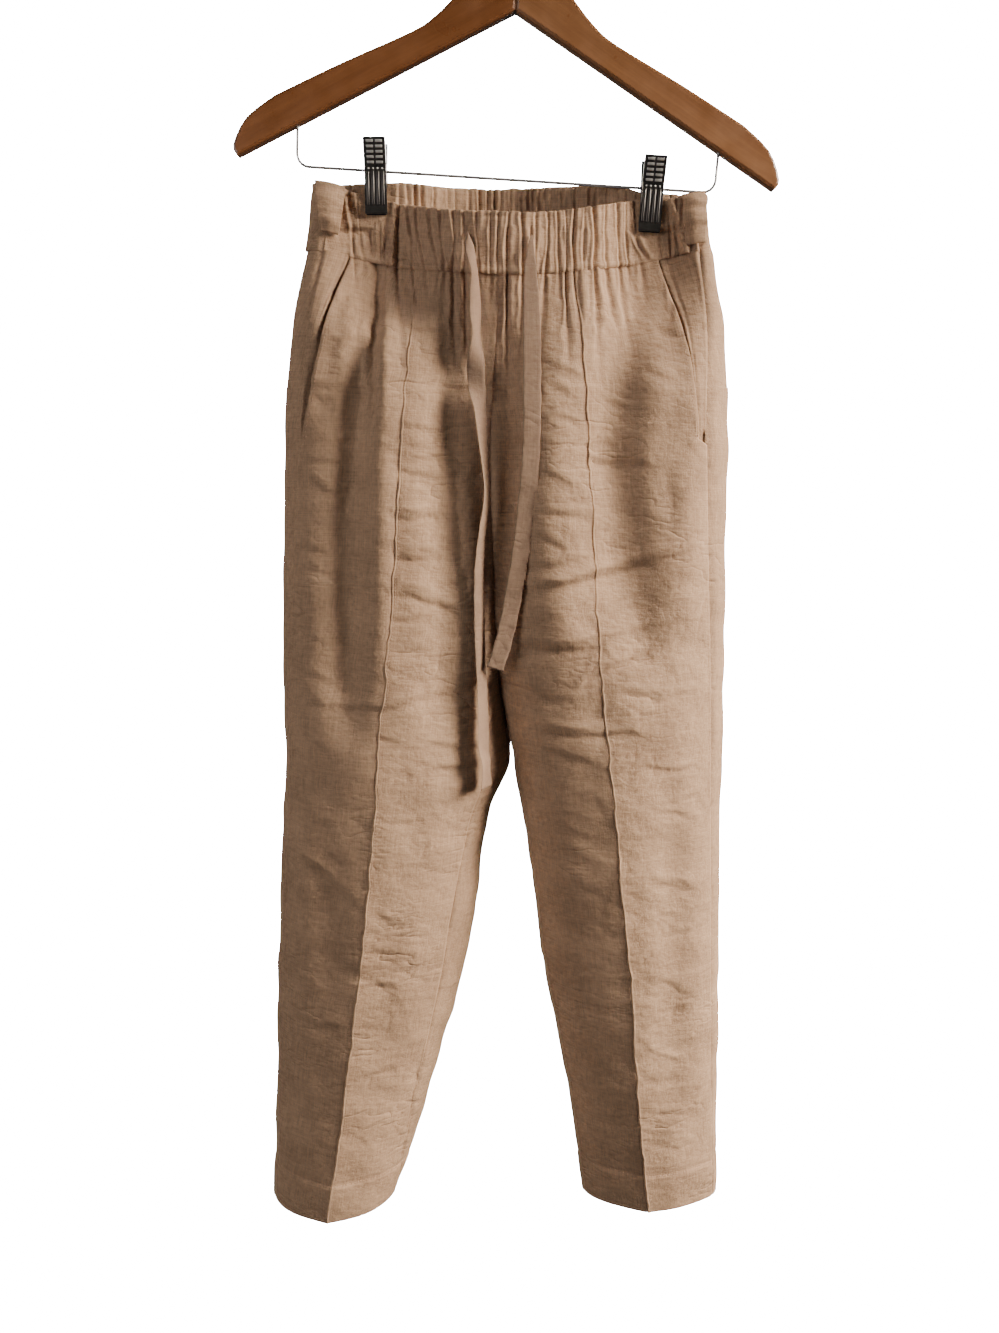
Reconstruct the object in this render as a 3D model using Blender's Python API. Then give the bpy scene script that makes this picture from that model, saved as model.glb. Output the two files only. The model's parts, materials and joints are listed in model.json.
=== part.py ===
"""Linen drawstring trousers clipped to a wooden hanger, in metres, +Z up, front towards -Y.

The origin is the inside crown of the hanger's hook, where the whole thing hangs on a rail. The
hanger has swung a little, right side down, and the trousers hang plumb from its two clips. Left
and right are as seen from the front, so the left half lies towards -X.
"""
from functools import lru_cache
from math import acos, atan2, cos, exp, pi, radians, sin, sqrt

import bmesh
import bpy
from mathutils import Matrix, Vector

# ---------------------------------------------------------------- driving dimensions
WAIST_TOP = -0.234          # top edge of the waistband at the side seams
BAND_DEEP = 0.048           # height of the waistband
WAIST_SEAM = WAIST_TOP - BAND_DEEP
CROTCH = -0.636
HEM = -1.156
FRONT_DIP = 0.026           # how far the front edge of the band sinks at its middle
SEAM_DIP = 0.022            # the same, at the waist seam
BACK_DIP = -0.0045          # the back edge stands higher at its middle
SIDE_DROP = 0.007           # the band's top edge by the right clip and side, to pass under the bar
DROP_FRONT_FROM = 0.088     # where that begins (X), in front and behind
DROP_BACK_FROM = 0.066
DROP_FADE = 0.034
DIP_END = -0.440            # height by which the dip has run out

PANEL_WALL = 0.0014
BAND_WALL = 0.0020
TRIM_WALL = 0.0012
HALF_SEAM = 0.00015         # pieces stand 0.3 mm apart at a seam
LAID_GAP = 0.0005           # between a piece and the panel it lies on

TILT = radians(3.4)         # swing of the hanger
BAR_BELOW = 0.230           # bar below the crown, square to the hanger
BAR_REACH = 0.1667          # upright of the bar from the hanger's middle
CLIP_LEFT_AT = -0.1038      # along the bar
CLIP_RIGHT_AT = 0.1166

# ---------------------------------------------------------------- form of the trousers
# One row for each height. outer, crease and inner are places across (X). front and back are how far
# the front and back creases stand off the plane of the side seams. inner_y is where the inner
# edge of a leg lies, sharp is 0 for a round and 1 for a straight flank, wrap_out and wrap_in are
# how far the back panel comes round to the front at the side seam and at the inseam.
COLUMNS = ("height", "outer", "crease", "inner", "front", "back", "inner_y", "sharp",
           "wrap_out", "wrap_in")
LEFT_HALF = (
    (-0.232, -0.1690, -0.0850, -0.0190, 0.020, 0.018, 0.000, 0.00, 0.0160, 0.000),
    (-0.285, -0.1765, -0.0860, -0.0190, 0.026, 0.024, 0.000, 0.00, 0.0160, 0.000),
    (-0.340, -0.1895, -0.0885, -0.0220, 0.042, 0.040, 0.000, 0.00, 0.0170, 0.000),
    (-0.420, -0.1985, -0.0960, -0.0260, 0.050, 0.052, 0.000, 0.10, 0.0180, 0.000),
    (-0.520, -0.2045, -0.1030, -0.0260, 0.053, 0.056, 0.000, 0.18, 0.0135, 0.000),
    (-0.636, -0.2110, -0.1140, -0.0195, 0.056, 0.057, 0.000, 0.26, 0.0115, 0.000),
    (-0.680, -0.2115, -0.1200, -0.0118, 0.057, 0.058, 0.008, 0.32, 0.0110, 0.018),
    (-0.720, -0.2125, -0.1225, -0.0095, 0.058, 0.058, 0.010, 0.36, 0.0100, 0.022),
    (-0.760, -0.2160, -0.1270, -0.0260, 0.058, 0.057, 0.006, 0.40, 0.0090, 0.018),
    (-0.850, -0.2230, -0.1365, -0.0410, 0.058, 0.056, 0.000, 0.46, 0.0060, 0.021),
    (-0.900, -0.2260, -0.1435, -0.0480, 0.057, 0.055, 0.000, 0.50, 0.0040, 0.022),
    (-1.000, -0.2320, -0.1570, -0.0740, 0.053, 0.052, 0.000, 0.56, 0.0020, 0.016),
    (-1.080, -0.2365, -0.1690, -0.0960, 0.050, 0.049, 0.000, 0.60, 0.0010, 0.010),
    (-1.156, -0.2420, -0.1830, -0.1200, 0.047, 0.046, 0.000, 0.62, 0.0010, 0.001),
)
RIGHT_HALF = (
    (-0.232, 0.1460, 0.0400, -0.0190, 0.020, 0.018, 0.000, 0.00, 0.0100, 0.000),
    (-0.285, 0.1530, 0.0410, -0.0190, 0.026, 0.024, 0.000, 0.00, 0.0110, 0.000),
    (-0.340, 0.1655, 0.0460, -0.0220, 0.042, 0.040, 0.000, 0.00, 0.0180, 0.000),
    (-0.420, 0.1730, 0.0530, -0.0260, 0.049, 0.052, 0.000, 0.08, 0.0240, 0.000),
    (-0.520, 0.1745, 0.0590, -0.0260, 0.051, 0.056, 0.000, 0.16, 0.0190, 0.000),
    (-0.636, 0.1785, 0.0665, -0.0195, 0.053, 0.057, 0.000, 0.24, 0.0150, 0.000),
    (-0.680, 0.1800, 0.0720, -0.0105, 0.054, 0.058, -0.004, 0.30, 0.0145, 0.000),
    (-0.720, 0.1810, 0.0770, -0.0045, 0.054, 0.058, -0.004, 0.34, 0.0140, 0.000),
    (-0.760, 0.1815, 0.0815, 0.0020, 0.054, 0.057, -0.002, 0.38, 0.0125, 0.000),
    (-0.850, 0.1845, 0.0915, 0.0155, 0.052, 0.055, 0.000, 0.44, 0.0110, 0.000),
    (-0.900, 0.1875, 0.0975, 0.0210, 0.050, 0.054, 0.000, 0.48, 0.0120, 0.000),
    (-1.000, 0.1910, 0.1065, 0.0400, 0.045, 0.050, 0.000, 0.54, 0.0100, 0.000),
    (-1.080, 0.1940, 0.1150, 0.0520, 0.039, 0.046, 0.000, 0.58, 0.0080, 0.000),
    (-1.156, 0.1960, 0.1240, 0.0620, 0.033, 0.042, 0.000, 0.60, 0.0060, 0.000),
)
MIDDLE_FRONT = 0.031        # how far the centre front seam stands forward
MIDDLE_BACK = 0.038
FORK_ROUND = 4.0            # how squarely the crotch curve turns under
CLEFT_FROM = -0.340         # the halves part from here down, fully at the crotch

# Large folds, one row each: where the fold runs, as top_x, top, bend_x, bend, foot_x and foot, then
# its half_wide, its rise, below nothing for a valley, and the length over which its ends fade.
FRONT_FOLDS = (
    (-0.117, -0.246, -0.121, -0.290, -0.127, -0.345, 0.0085, -0.011, 0.020),
    (-0.124, -0.310, -0.141, -0.420, -0.149, -0.700, 0.0190, -0.018, 0.090),
    (-0.060, -0.300, -0.068, -0.460, -0.072, -0.720, 0.0150, -0.009, 0.090),
    (-0.036, -0.310, -0.040, -0.460, -0.045, -0.600, 0.0120, 0.004, 0.080),
    (-0.168, -0.700, -0.174, -0.880, -0.196, -1.100, 0.0190, -0.007, 0.120),
    (0.103, -0.258, 0.098, -0.290, 0.092, -0.335, 0.0095, -0.010, 0.020),
    (0.093, -0.305, 0.079, -0.440, 0.112, -0.640, 0.0200, -0.018, 0.090),
    (0.020, -0.320, 0.024, -0.470, 0.040, -0.660, 0.0200, 0.009, 0.090),
    (0.136, -0.360, 0.137, -0.470, 0.142, -0.620, 0.0150, 0.005, 0.080),
    (0.116, -0.640, 0.132, -0.820, 0.147, -1.080, 0.0170, -0.006, 0.110),
)
BACK_FOLDS = (
    (-0.117, -0.250, -0.122, -0.300, -0.130, -0.380, 0.0100, -0.010, 0.030),
    (-0.128, -0.320, -0.150, -0.470, -0.160, -0.760, 0.0200, -0.017, 0.100),
    (-0.062, -0.310, -0.066, -0.450, -0.060, -0.620, 0.0170, -0.009, 0.090),
    (0.103, -0.258, 0.106, -0.310, 0.112, -0.390, 0.0100, -0.010, 0.030),
    (0.108, -0.320, 0.126, -0.480, 0.130, -0.760, 0.0200, -0.016, 0.100),
    (0.040, -0.310, 0.036, -0.450, 0.028, -0.620, 0.0170, -0.008, 0.090),
    (-0.150, -0.740, -0.160, -0.900, -0.172, -1.080, 0.0180, -0.006, 0.120),
    (0.110, -0.740, 0.120, -0.900, 0.128, -1.080, 0.0180, -0.006, 0.120),
)

GATHER_PITCH = 0.0108       # the band's gathers, uneven about this spacing
GATHER_HIGH = 0.0013
GATHER_REACH_LEFT = -0.098  # gathers run between the clips
GATHER_REACH_RIGHT = 0.086
PLEAT_PITCH = 0.0235        # the pleats that go on from them into the panels
PLEAT_HIGH = 0.0022
PLEAT_LONG = 0.035

PINCH = 0.00225             # outer face of the band off the plane of the seams, inside a clip
PINCH_FLAT = 0.0105         # half width that a clip presses flat
PINCH_FADE = 0.030          # and how far across it takes to open again
PINCH_LOW_LEFT = -0.262     # height down to which it is flat
PINCH_LOW_RIGHT = -0.276
PINCH_LONG = 0.110

TUCK_HIGH = 0.0016          # stitched pintuck that runs down each front crease
TUCK_HALF = 0.0012

POCKET_FOOT = -0.430        # lower end of the pocket mouth
POCKET_GAPE = 0.0022
# Distance of the pocket mouth from the outer edge, at the waist seam and at its foot.
POCKET_LEFT = (0.0380, 0.0210)
POCKET_RIGHT = (0.0440, 0.0330)

FACING_TUCK = -0.385        # from here down the facing draws in behind the front panel
FACING_UNDER = 0.018        # how far it goes on behind the mouth
FACING_DEEP = PANEL_WALL + 0.0012
FACING_DIVE = 0.45
FACING_COLUMNS = (0.0, 0.18, 0.40, 0.60, 0.80, 1.0)

LOOP_TOP = -0.2325
LOOP_LEFT = (0.0050, 0.0210, -0.2685)       # its two edges, in from the outer edge, and its foot
LOOP_RIGHT = (0.0020, 0.0160, -0.2765)
LOOP_GAP = 0.0008
LOOP_BOW = 0.0018
LOOP_ROWS = 6

# The drawstring's two free ends, from their buttonholes down: place, how far the tape has turned
# from flat on (degrees), and its half width, which is folded narrow at the buttonhole.
TIE_THICK = 0.0012
TIE_LEFT = (
    (-0.0427, -0.0300, -0.2780, 5, 0.0020),
    (-0.0424, -0.0330, -0.2800, 20, 0.0028),
    (-0.0412, -0.0368, -0.2905, 40, 0.0052),
    (-0.0368, -0.0398, -0.3140, 58, 0.0068),
    (-0.0372, -0.0412, -0.3370, 55, 0.0070),
    (-0.0368, -0.0430, -0.3640, 45, 0.0070),
    (-0.0380, -0.0422, -0.3820, 12, 0.0070),
    (-0.0350, -0.0435, -0.4110, 45, 0.0070),
    (-0.0333, -0.0440, -0.4330, 58, 0.0070),
    (-0.0314, -0.0442, -0.4540, 78, 0.0070),
    (-0.0302, -0.0444, -0.4760, 96, 0.0070),
    (-0.0330, -0.0450, -0.5050, 118, 0.0070),
    (-0.0350, -0.0455, -0.5380, 133, 0.0070),
    (-0.0345, -0.0455, -0.5880, 130, 0.0070),
    (-0.0335, -0.0455, -0.6400, 134, 0.0070),
    (-0.0335, -0.0455, -0.6860, 128, 0.0070),
    (-0.0318, -0.0460, -0.7010, 140, 0.0070),
    (-0.0312, -0.0455, -0.7240, 132, 0.0070),
)
TIE_RIGHT = (
    (0.0055, -0.0300, -0.2795, -5, 0.0020),
    (0.0054, -0.0330, -0.2815, -15, 0.0030),
    (0.0048, -0.0348, -0.2930, -35, 0.0055),
    (0.0047, -0.0368, -0.3100, -32, 0.0069),
    (0.0063, -0.0390, -0.3370, -18, 0.0070),
    (0.0066, -0.0418, -0.3580, -14, 0.0070),
    (0.0066, -0.0462, -0.3860, -10, 0.0070),
    (0.0067, -0.0490, -0.4120, -8, 0.0070),
    (0.0061, -0.0497, -0.4400, -5, 0.0070),
    (0.0047, -0.0497, -0.4635, -5, 0.0070),
    (0.0030, -0.0496, -0.4770, -8, 0.0070),
    (0.0009, -0.0493, -0.4995, -5, 0.0070),
    (-0.0022, -0.0490, -0.5230, -5, 0.0070),
    (-0.0066, -0.0486, -0.5500, -5, 0.0070),
    (-0.0112, -0.0482, -0.5760, -4, 0.0070),
    (-0.0172, -0.0478, -0.6010, -4, 0.0070),
    (-0.0229, -0.0475, -0.6190, -4, 0.0070),
)

HOOK_WIRE = 0.0017
HOOK_INSIDE = 0.0210        # inside radius of the hook
HOOK_NECK = ((0.0066, 0.0, -0.0462), (0.0012, 0.0, -0.0545), (0.0, 0.0, -0.0640))
HOOK_FOOT = -0.0850         # shank end, in the wood
BAR_WIRE = 0.00115
BAR_BEND = 0.0095
BAR_TOP = -0.1930           # wire ends, in the wood
HOLE_GAP = 0.0003
WOOD_THICK = 0.0125
WOOD_ROUND = 0.0022
WELD = 0.00001
# Outline of one arm (X, height): over the neck and shoulder, round the end, and the under edge,
# which runs straight back to the middle.
ARM_TOP = ((HALF_SEAM, -0.0665), (0.0130, -0.0700), (0.0260, -0.0800), (0.0450, -0.1010),
           (0.0620, -0.1180), (0.0800, -0.1300), (0.1330, -0.1548), (0.1840, -0.1805))
ARM_END = ((0.1840, -0.1805), (0.2060, -0.1975), (0.2165, -0.2180), (0.2130, -0.2262))
ARM_UNDER = (HALF_SEAM, -0.1108)

# Side profile of the front jaw and pad about the bar (front-to-back, height), the back ones mirrored.
JAW_HALF = 0.00875
PAD_HALF = 0.0080
JAW_PROFILE = ((0.0041, -0.0325), (0.0041, 0.0020), (0.0105, 0.0228), (0.0118, 0.0224),
               (0.0054, 0.0016), (0.0054, -0.0325))
PAD_PROFILE = ((0.00255, -0.0330), (0.00255, -0.0270), (0.00380, -0.0270), (0.00380, -0.0330))
COIL_OUTER = 0.0038         # bears on the jaws
COIL_INNER = BAR_WIRE + 0.0004
COIL_HALF = 0.0065

ROW_HEIGHTS = (WAIST_SEAM, -0.292, -0.304, -0.320, -0.340, -0.362, -0.388, -0.412, POCKET_FOOT,
               -0.437, -0.465, -0.505, -0.545, -0.580, -0.602, -0.620, -0.631, CROTCH, -0.643,
               -0.656, -0.680, -0.710, -0.740, -0.780, -0.820, -0.865, -0.920, -0.980, -1.040,
               -1.100, HEM)
# Each panel is one length of cloth, made here in four stretches that meet at half seams.
STRETCHES = (("hip", WAIST_SEAM, POCKET_FOOT), ("thigh", POCKET_FOOT, -0.680),
             ("knee", -0.680, -0.865), ("shin", -0.865, HEM))
BAND_ROWS = 4
BAND_COLUMNS_FRONT = 108
BAND_COLUMNS_BACK = 84
FLANK_COLUMNS = 13          # of a front panel, outside its crease
INNER_COLUMNS = 11          # and inside it
BACK_COLUMNS = 15
JUST_BEHIND = 1e-6          # past a turn of 2, so that a point counts as one of the back

LINEN = (0.40, 0.275, 0.19)
LINEN_DARK = (0.35, 0.235, 0.16)
WOOD = (0.23, 0.085, 0.028)
STEEL = (0.34, 0.33, 0.32)
RUBBER = (0.02, 0.02, 0.022)


# ---------------------------------------------------------------- reading the tables
def smooth(value):
    """0 below 0, 1 above 1, and an even S between."""
    held = min(1.0, max(0.0, value))
    return held * held * (3.0 - 2.0 * held)


def blend(start, end, share):
    return start + (end - start) * share


@lru_cache(maxsize=None)
def section(side, height):
    """One row of the left (-1) or right (+1) half's table at any height, smooth between its rows."""
    table = LEFT_HALF if side < 0 else RIGHT_HALF
    held = min(table[0][0], max(table[-1][0], height))
    place = next(i for i in range(len(table) - 1) if held >= table[i + 1][0])
    above, below = table[place], table[place + 1]
    before = table[max(place - 1, 0)]
    after = table[min(place + 2, len(table) - 1)]
    span = above[0] - below[0]
    share = (above[0] - held) / span
    values = {}
    for name, a, b, c, d in zip(COLUMNS, before, above, below, after):
        slope_b = (c - a) / (before[0] - below[0]) * span
        slope_c = (d - b) / (above[0] - after[0]) * span
        values[name] = ((2 * share**3 - 3 * share**2 + 1) * b
                        + (share**3 - 2 * share**2 + share) * slope_b
                        + (3 * share**2 - 2 * share**3) * c
                        + (share**3 - share**2) * slope_c)
    values["inner"] += side * HALF_SEAM
    return values


def middle_depth(height, depth):
    """Stand-off of the centre front or back seam, which turns under to nothing at the crotch."""
    rise = max(0.0, (height - CROTCH) / (WAIST_SEAM - CROTCH))
    return depth * sqrt(1.0 - max(0.0, 1.0 - rise) ** FORK_ROUND) if rise < 1.0 else depth


def fold_rise(folds, x, height):
    """Sum of the folds at a place on the front or the back."""
    total = 0.0
    for top_x, top, bend_x, bend, foot_x, foot, half_wide, rise, fade in folds:
        if not foot < height < top:
            continue
        if height > bend:
            line_x = blend(top_x, bend_x, (top - height) / (top - bend))
        else:
            line_x = blend(bend_x, foot_x, (bend - height) / (bend - foot))
        ends = smooth((top - height) / fade) * smooth((height - foot) / fade)
        total += rise * ends * exp(-((x - line_x) / half_wide) ** 2)
    return total


def uneven_wave(x, pitch):
    """A wave from -1 to 1 whose crests are unevenly spaced and unevenly high."""
    turn = 2.0 * pi * x / pitch
    crest = sin(turn + 1.1 * sin(turn / 3.7) + 0.8 * sin(turn / 5.9 + 1.0))
    return crest * (0.75 + 0.25 * sin(turn / 2.6 + 0.5))


def gather_rise(x, height):
    """Fine gathers on the band, and the longer pleats that they let into the panels."""
    reach = smooth((x - GATHER_REACH_LEFT) / 0.012) * smooth((GATHER_REACH_RIGHT - x) / 0.012)
    if height >= WAIST_SEAM - HALF_SEAM:
        return GATHER_HIGH * uneven_wave(x, GATHER_PITCH) * reach
    below = WAIST_SEAM - height
    return PLEAT_HIGH * uneven_wave(x, PLEAT_PITCH) * reach * exp(-(below / PLEAT_LONG) ** 2)


def pinch_share(x, height):
    """1 where a clip presses front and back together, fading out sideways and downwards."""
    share = 0.0
    for clip_x, low in ((CLIP_LEFT_X, PINCH_LOW_LEFT), (CLIP_RIGHT_X, PINCH_LOW_RIGHT)):
        across = 1.0 - smooth((abs(x - clip_x) - PINCH_FLAT) / PINCH_FADE)
        down = 1.0 - smooth((low - height) / PINCH_LONG)
        share = max(share, across * down)
    return share


def bar_point(along):
    """Place of a point of the bar once the hanger has swung."""
    return (along * cos(TILT) - BAR_BELOW * sin(TILT), -along * sin(TILT) - BAR_BELOW * cos(TILT))


CLIP_LEFT_X = bar_point(CLIP_LEFT_AT)[0]
CLIP_RIGHT_X = bar_point(CLIP_RIGHT_AT)[0]


# ---------------------------------------------------------------- the outer surface
def round_flank(share, sharp):
    """How far a flank has risen, from an outer edge at 0 to a crease at 1."""
    bow = sin(share * pi / 2.0)
    return blend(bow, 1.0 - cos(share * pi / 2.0), sharp)


def surface(side, turn, height, gathers=True):
    """Point of the outer surface of one half.

    turn goes once round the half: 0 is its outer edge, 1 the front crease, 2 the inner edge or
    centre seam, 3 the back crease and 4 the outer edge again.
    """
    row = section(side, height)
    turn = turn % 4.0 if turn > 4.0 else turn
    front = turn <= 2.0
    crease_x = row["crease"] if front else 0.5 * (row["outer"] + row["inner"])
    depth = row["front"] if front else row["back"]
    cleft = smooth((CLEFT_FROM - height) / (CLEFT_FROM - CROTCH))
    if height > CROTCH:
        middle = middle_depth(height, MIDDLE_FRONT if front else MIDDLE_BACK)
    else:
        middle = -row["inner_y"] if front else row["inner_y"]
    flank = turn if front else 4.0 - turn
    if flank <= 1.0:
        x = row["outer"] + (crease_x - row["outer"]) * (1.0 - cos(flank * pi / 2.0))
        stand = depth * round_flank(flank, row["sharp"])
        free = sin(flank * pi / 2.0)
    else:
        inward = flank - 1.0
        across = blend(inward, sin(inward * pi / 2.0), cleft)
        fall = blend(0.5 - 0.5 * cos(pi * inward), 1.0 - cos(inward * pi / 2.0), cleft)
        fall = blend(fall, across, row["sharp"] * cleft)
        x = crease_x + (row["inner"] - crease_x) * across
        stand = depth + (middle - depth) * fall
        free = 1.0 - cleft * (1.0 - cos(inward * pi / 2.0))
    stand += free * fold_rise(FRONT_FOLDS if front else BACK_FOLDS, x, height)
    stand = blend(stand, PINCH * min(1.0, 2.0 * free), pinch_share(x, height))
    if gathers:
        stand += free * gather_rise(x, height) * (1.0 - pinch_share(x, height))
    return Vector((x, -stand if front else stand, height - dip(x, height, front)))


def dip(x, height, front):
    """How far the cloth sinks between the side seams, most at the band's front edge."""
    left, right = section(-1, height)["outer"], section(1, height)["outer"]
    place = (2.0 * x - left - right) / (right - left)
    level = max(0.0, 1.0 - place * place) ** 1.5
    up = max(0.0, (height - WAIST_SEAM) / BAND_DEEP)
    drop = up * SIDE_DROP * smooth((x - (DROP_FRONT_FROM if front else DROP_BACK_FROM)) / DROP_FADE)
    if not front:
        return drop + BACK_DIP * level * level * smooth((height - DIP_END) / (WAIST_SEAM - DIP_END))
    if height > WAIST_SEAM:
        return drop + level * blend(SEAM_DIP, FRONT_DIP, up)
    return level * SEAM_DIP * smooth((height - DIP_END) / (WAIST_SEAM - DIP_END))


def outward(side, turn, height):
    """Unit normal of the surface without its gathers, so that the wall never crosses itself."""
    step = 0.004
    ahead, behind = turn + step, turn - step
    for edge in (0.0, 2.0, 4.0):
        if behind < edge <= turn and turn - edge < step and turn > edge:
            behind = edge + JUST_BEHIND
        if turn <= edge < ahead:
            ahead = edge
    if ahead - behind < step:
        behind = turn - step
    around = surface(side, ahead, height, False) - surface(side, behind, height, False)
    down = surface(side, turn, height - 0.001, False) - surface(side, turn, height + 0.001, False)
    normal = around.cross(down)
    return (-normal if side < 0 else normal).normalized()


def turn_at(side, height, distance, from_inner=False):
    """turn of the front point that lies a distance in from the outer, or the inner, edge."""
    row = section(side, height)
    if not from_inner:
        share = min(1.0, distance / abs(row["crease"] - row["outer"]))
        return acos(1.0 - share) * 2.0 / pi
    if height > CROTCH:
        return 2.0
    share = min(1.0, distance / abs(row["inner"] - row["crease"]))
    return 1.0 + atan2(1.0 - share, sqrt(1.0 - (1.0 - share) ** 2)) * 2.0 / pi


def pocket_distance(side, height):
    """Distance of the pocket mouth from the outer edge, a gentle curve from waist to foot."""
    top, foot = POCKET_LEFT if side < 0 else POCKET_RIGHT
    share = min(1.0, max(0.0, (WAIST_SEAM - height) / (WAIST_SEAM - POCKET_FOOT)))
    return blend(top, foot, 1.0 - (1.0 - share) ** 1.4)


# ---------------------------------------------------------------- making walls
def close_wall(name, outer, inner, colour):
    """A wall between two grids of points, closed round its edge."""
    mesh = bmesh.new()
    rows, columns = len(outer), len(outer[0])
    out = [[mesh.verts.new(point) for point in line] for line in outer]
    ins = [[mesh.verts.new(point) for point in line] for line in inner]
    for r in range(rows - 1):
        for c in range(columns - 1):
            mesh.faces.new((out[r][c], out[r][c + 1], out[r + 1][c + 1], out[r + 1][c]))
            mesh.faces.new((ins[r][c], ins[r + 1][c], ins[r + 1][c + 1], ins[r][c + 1]))
    rim = [(0, c) for c in range(columns)] + [(r, columns - 1) for r in range(1, rows)]
    rim += [(rows - 1, c) for c in range(columns - 2, -1, -1)] + [(r, 0) for r in range(rows - 2, 0, -1)]
    for (r, c), (next_r, next_c) in zip(rim, rim[1:] + rim[:1]):
        mesh.faces.new((out[r][c], ins[r][c], ins[next_r][next_c], out[next_r][next_c]))
    bmesh.ops.recalc_face_normals(mesh, faces=mesh.faces)
    return finish_mesh(name, mesh, colour)


def finish_mesh(name, mesh, colour, roughness=0.85, metallic=0.0, parent=None):
    """Turn a bmesh into a named object of its own material, in the part's collection."""
    data = bpy.data.meshes.new(name)
    mesh.to_mesh(data)
    mesh.free()
    data.shade_smooth()
    data.set_sharp_from_angle(angle=radians(40))
    piece = bpy.data.objects.new(name, data)
    return dress(piece, colour, roughness, metallic, parent)


def dress(piece, colour, roughness, metallic, parent=None):
    material = bpy.data.materials.new(piece.name)
    material.use_nodes = True
    shader = material.node_tree.nodes["Principled BSDF"]
    shader.inputs["Base Color"].default_value = (*colour, 1.0)
    shader.inputs["Roughness"].default_value = roughness
    shader.inputs["Metallic"].default_value = metallic
    piece.data.materials.append(material)
    piece.parent = parent
    PART.objects.link(piece)
    return piece


def share_row(start, end, count):
    """Even shares from start to end, both included."""
    return [blend(start, end, i / (count - 1)) for i in range(count)]


def wall_grids(side, turns_of, heights, wall, trim_start=True, trim_end=True):
    """Outer and inner points of a panel. Its two long edges are drawn back by half a seam."""
    outer, inner = [], []
    for height in heights:
        turns = turns_of(height)
        points = [surface(side, turn, height) for turn in turns]
        normals = [outward(side, turn, height) for turn in turns]
        if trim_start:
            points[0] += HALF_SEAM * (points[1] - points[0]).normalized()
        if trim_end and height <= CROTCH or trim_end == "all":
            points[-1] += HALF_SEAM * (points[-2] - points[-1]).normalized()
        outer.append(points)
        inner.append([point - normal * wall for point, normal in zip(points, normals)])
    return outer, inner


def drop_edge(grids, row, amount):
    """Draw one row of a wall down (or up) by half a seam."""
    for grid in grids:
        for point in grid[row]:
            point.z += amount


def close_stretches(name, grids):
    """Close a panel's wall in its four stretches, hip to shin."""
    for word, top, foot in STRETCHES:
        first, last = ROW_HEIGHTS.index(top), ROW_HEIGHTS.index(foot)
        stretch = [[[point.copy() for point in line] for line in grid[first:last + 1]]
                   for grid in grids]
        drop_edge(stretch, 0, -HALF_SEAM)
        if foot != HEM:
            drop_edge(stretch, -1, HALF_SEAM)
        close_wall(f"{name}_{word}", *stretch, LINEN)


# ---------------------------------------------------------------- panels
def front_turns(side, height):
    """Columns of a front panel, from the pocket mouth or side seam to the inseam, with three of
    them close together at the crease."""
    row = section(side, height)
    if height >= POCKET_FOOT:
        start = turn_at(side, height, pocket_distance(side, height))
    else:
        start = turn_at(side, height, row["wrap_out"])
    end = turn_at(side, height, row["wrap_in"], from_inner=True)
    half = TUCK_HALF / abs(row["crease"] - row["outer"]) * 2.0 / pi
    half_in = TUCK_HALF / abs(row["crease"] - row["inner"])
    half_in *= blend(1.0, 2.0 / pi, smooth((CLEFT_FROM - height) / (CLEFT_FROM - CROTCH)))
    return (share_row(start, 1.0 - half, FLANK_COLUMNS) + [1.0]
            + share_row(1.0 + half_in, end, INNER_COLUMNS))


def make_front(side, name):
    grids = wall_grids(side, lambda height: front_turns(side, height), ROW_HEIGHTS, PANEL_WALL)
    for height, points in zip(ROW_HEIGHTS, grids[0]):
        points[FLANK_COLUMNS] += TUCK_HIGH * outward(side, 1.0, height)
    mouth = [r for r, height in enumerate(ROW_HEIGHTS) if POCKET_FOOT < height < WAIST_SEAM]
    for r in mouth:
        gape = POCKET_GAPE * outward(side, front_turns(side, ROW_HEIGHTS[r])[0], ROW_HEIGHTS[r])
        for column, share in ((0, 1.0), (1, 0.35)):
            for grid in grids:
                grid[r][column] += gape * share
    close_stretches(name, grids)


def back_turns(side, height):
    """Columns of a back panel, from the inseam or centre back seam round to the side seam."""
    row = section(side, height)
    end = 4.0 + turn_at(side, height, row["wrap_out"])
    if height > CROTCH:
        return share_row(2.0 + JUST_BEHIND, 4.0, BACK_COLUMNS) + [blend(4.0, end, 0.5), end]
    start = turn_at(side, height, row["wrap_in"], from_inner=True)
    return [start] + share_row(2.0 + JUST_BEHIND, 4.0, BACK_COLUMNS)[1:] + [blend(4.0, end, 0.5), end]


def make_back(side, name):
    outer, inner = wall_grids(side, lambda height: back_turns(side, height), ROW_HEIGHTS,
                              PANEL_WALL, trim_start=False, trim_end="all")
    for height, points, backs in zip(ROW_HEIGHTS, outer, inner):
        if height <= CROTCH:
            shift = HALF_SEAM * (points[1] - points[0]).normalized()
            points[0] += shift
            backs[0] += shift
    close_stretches(name, (outer, inner))


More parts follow.
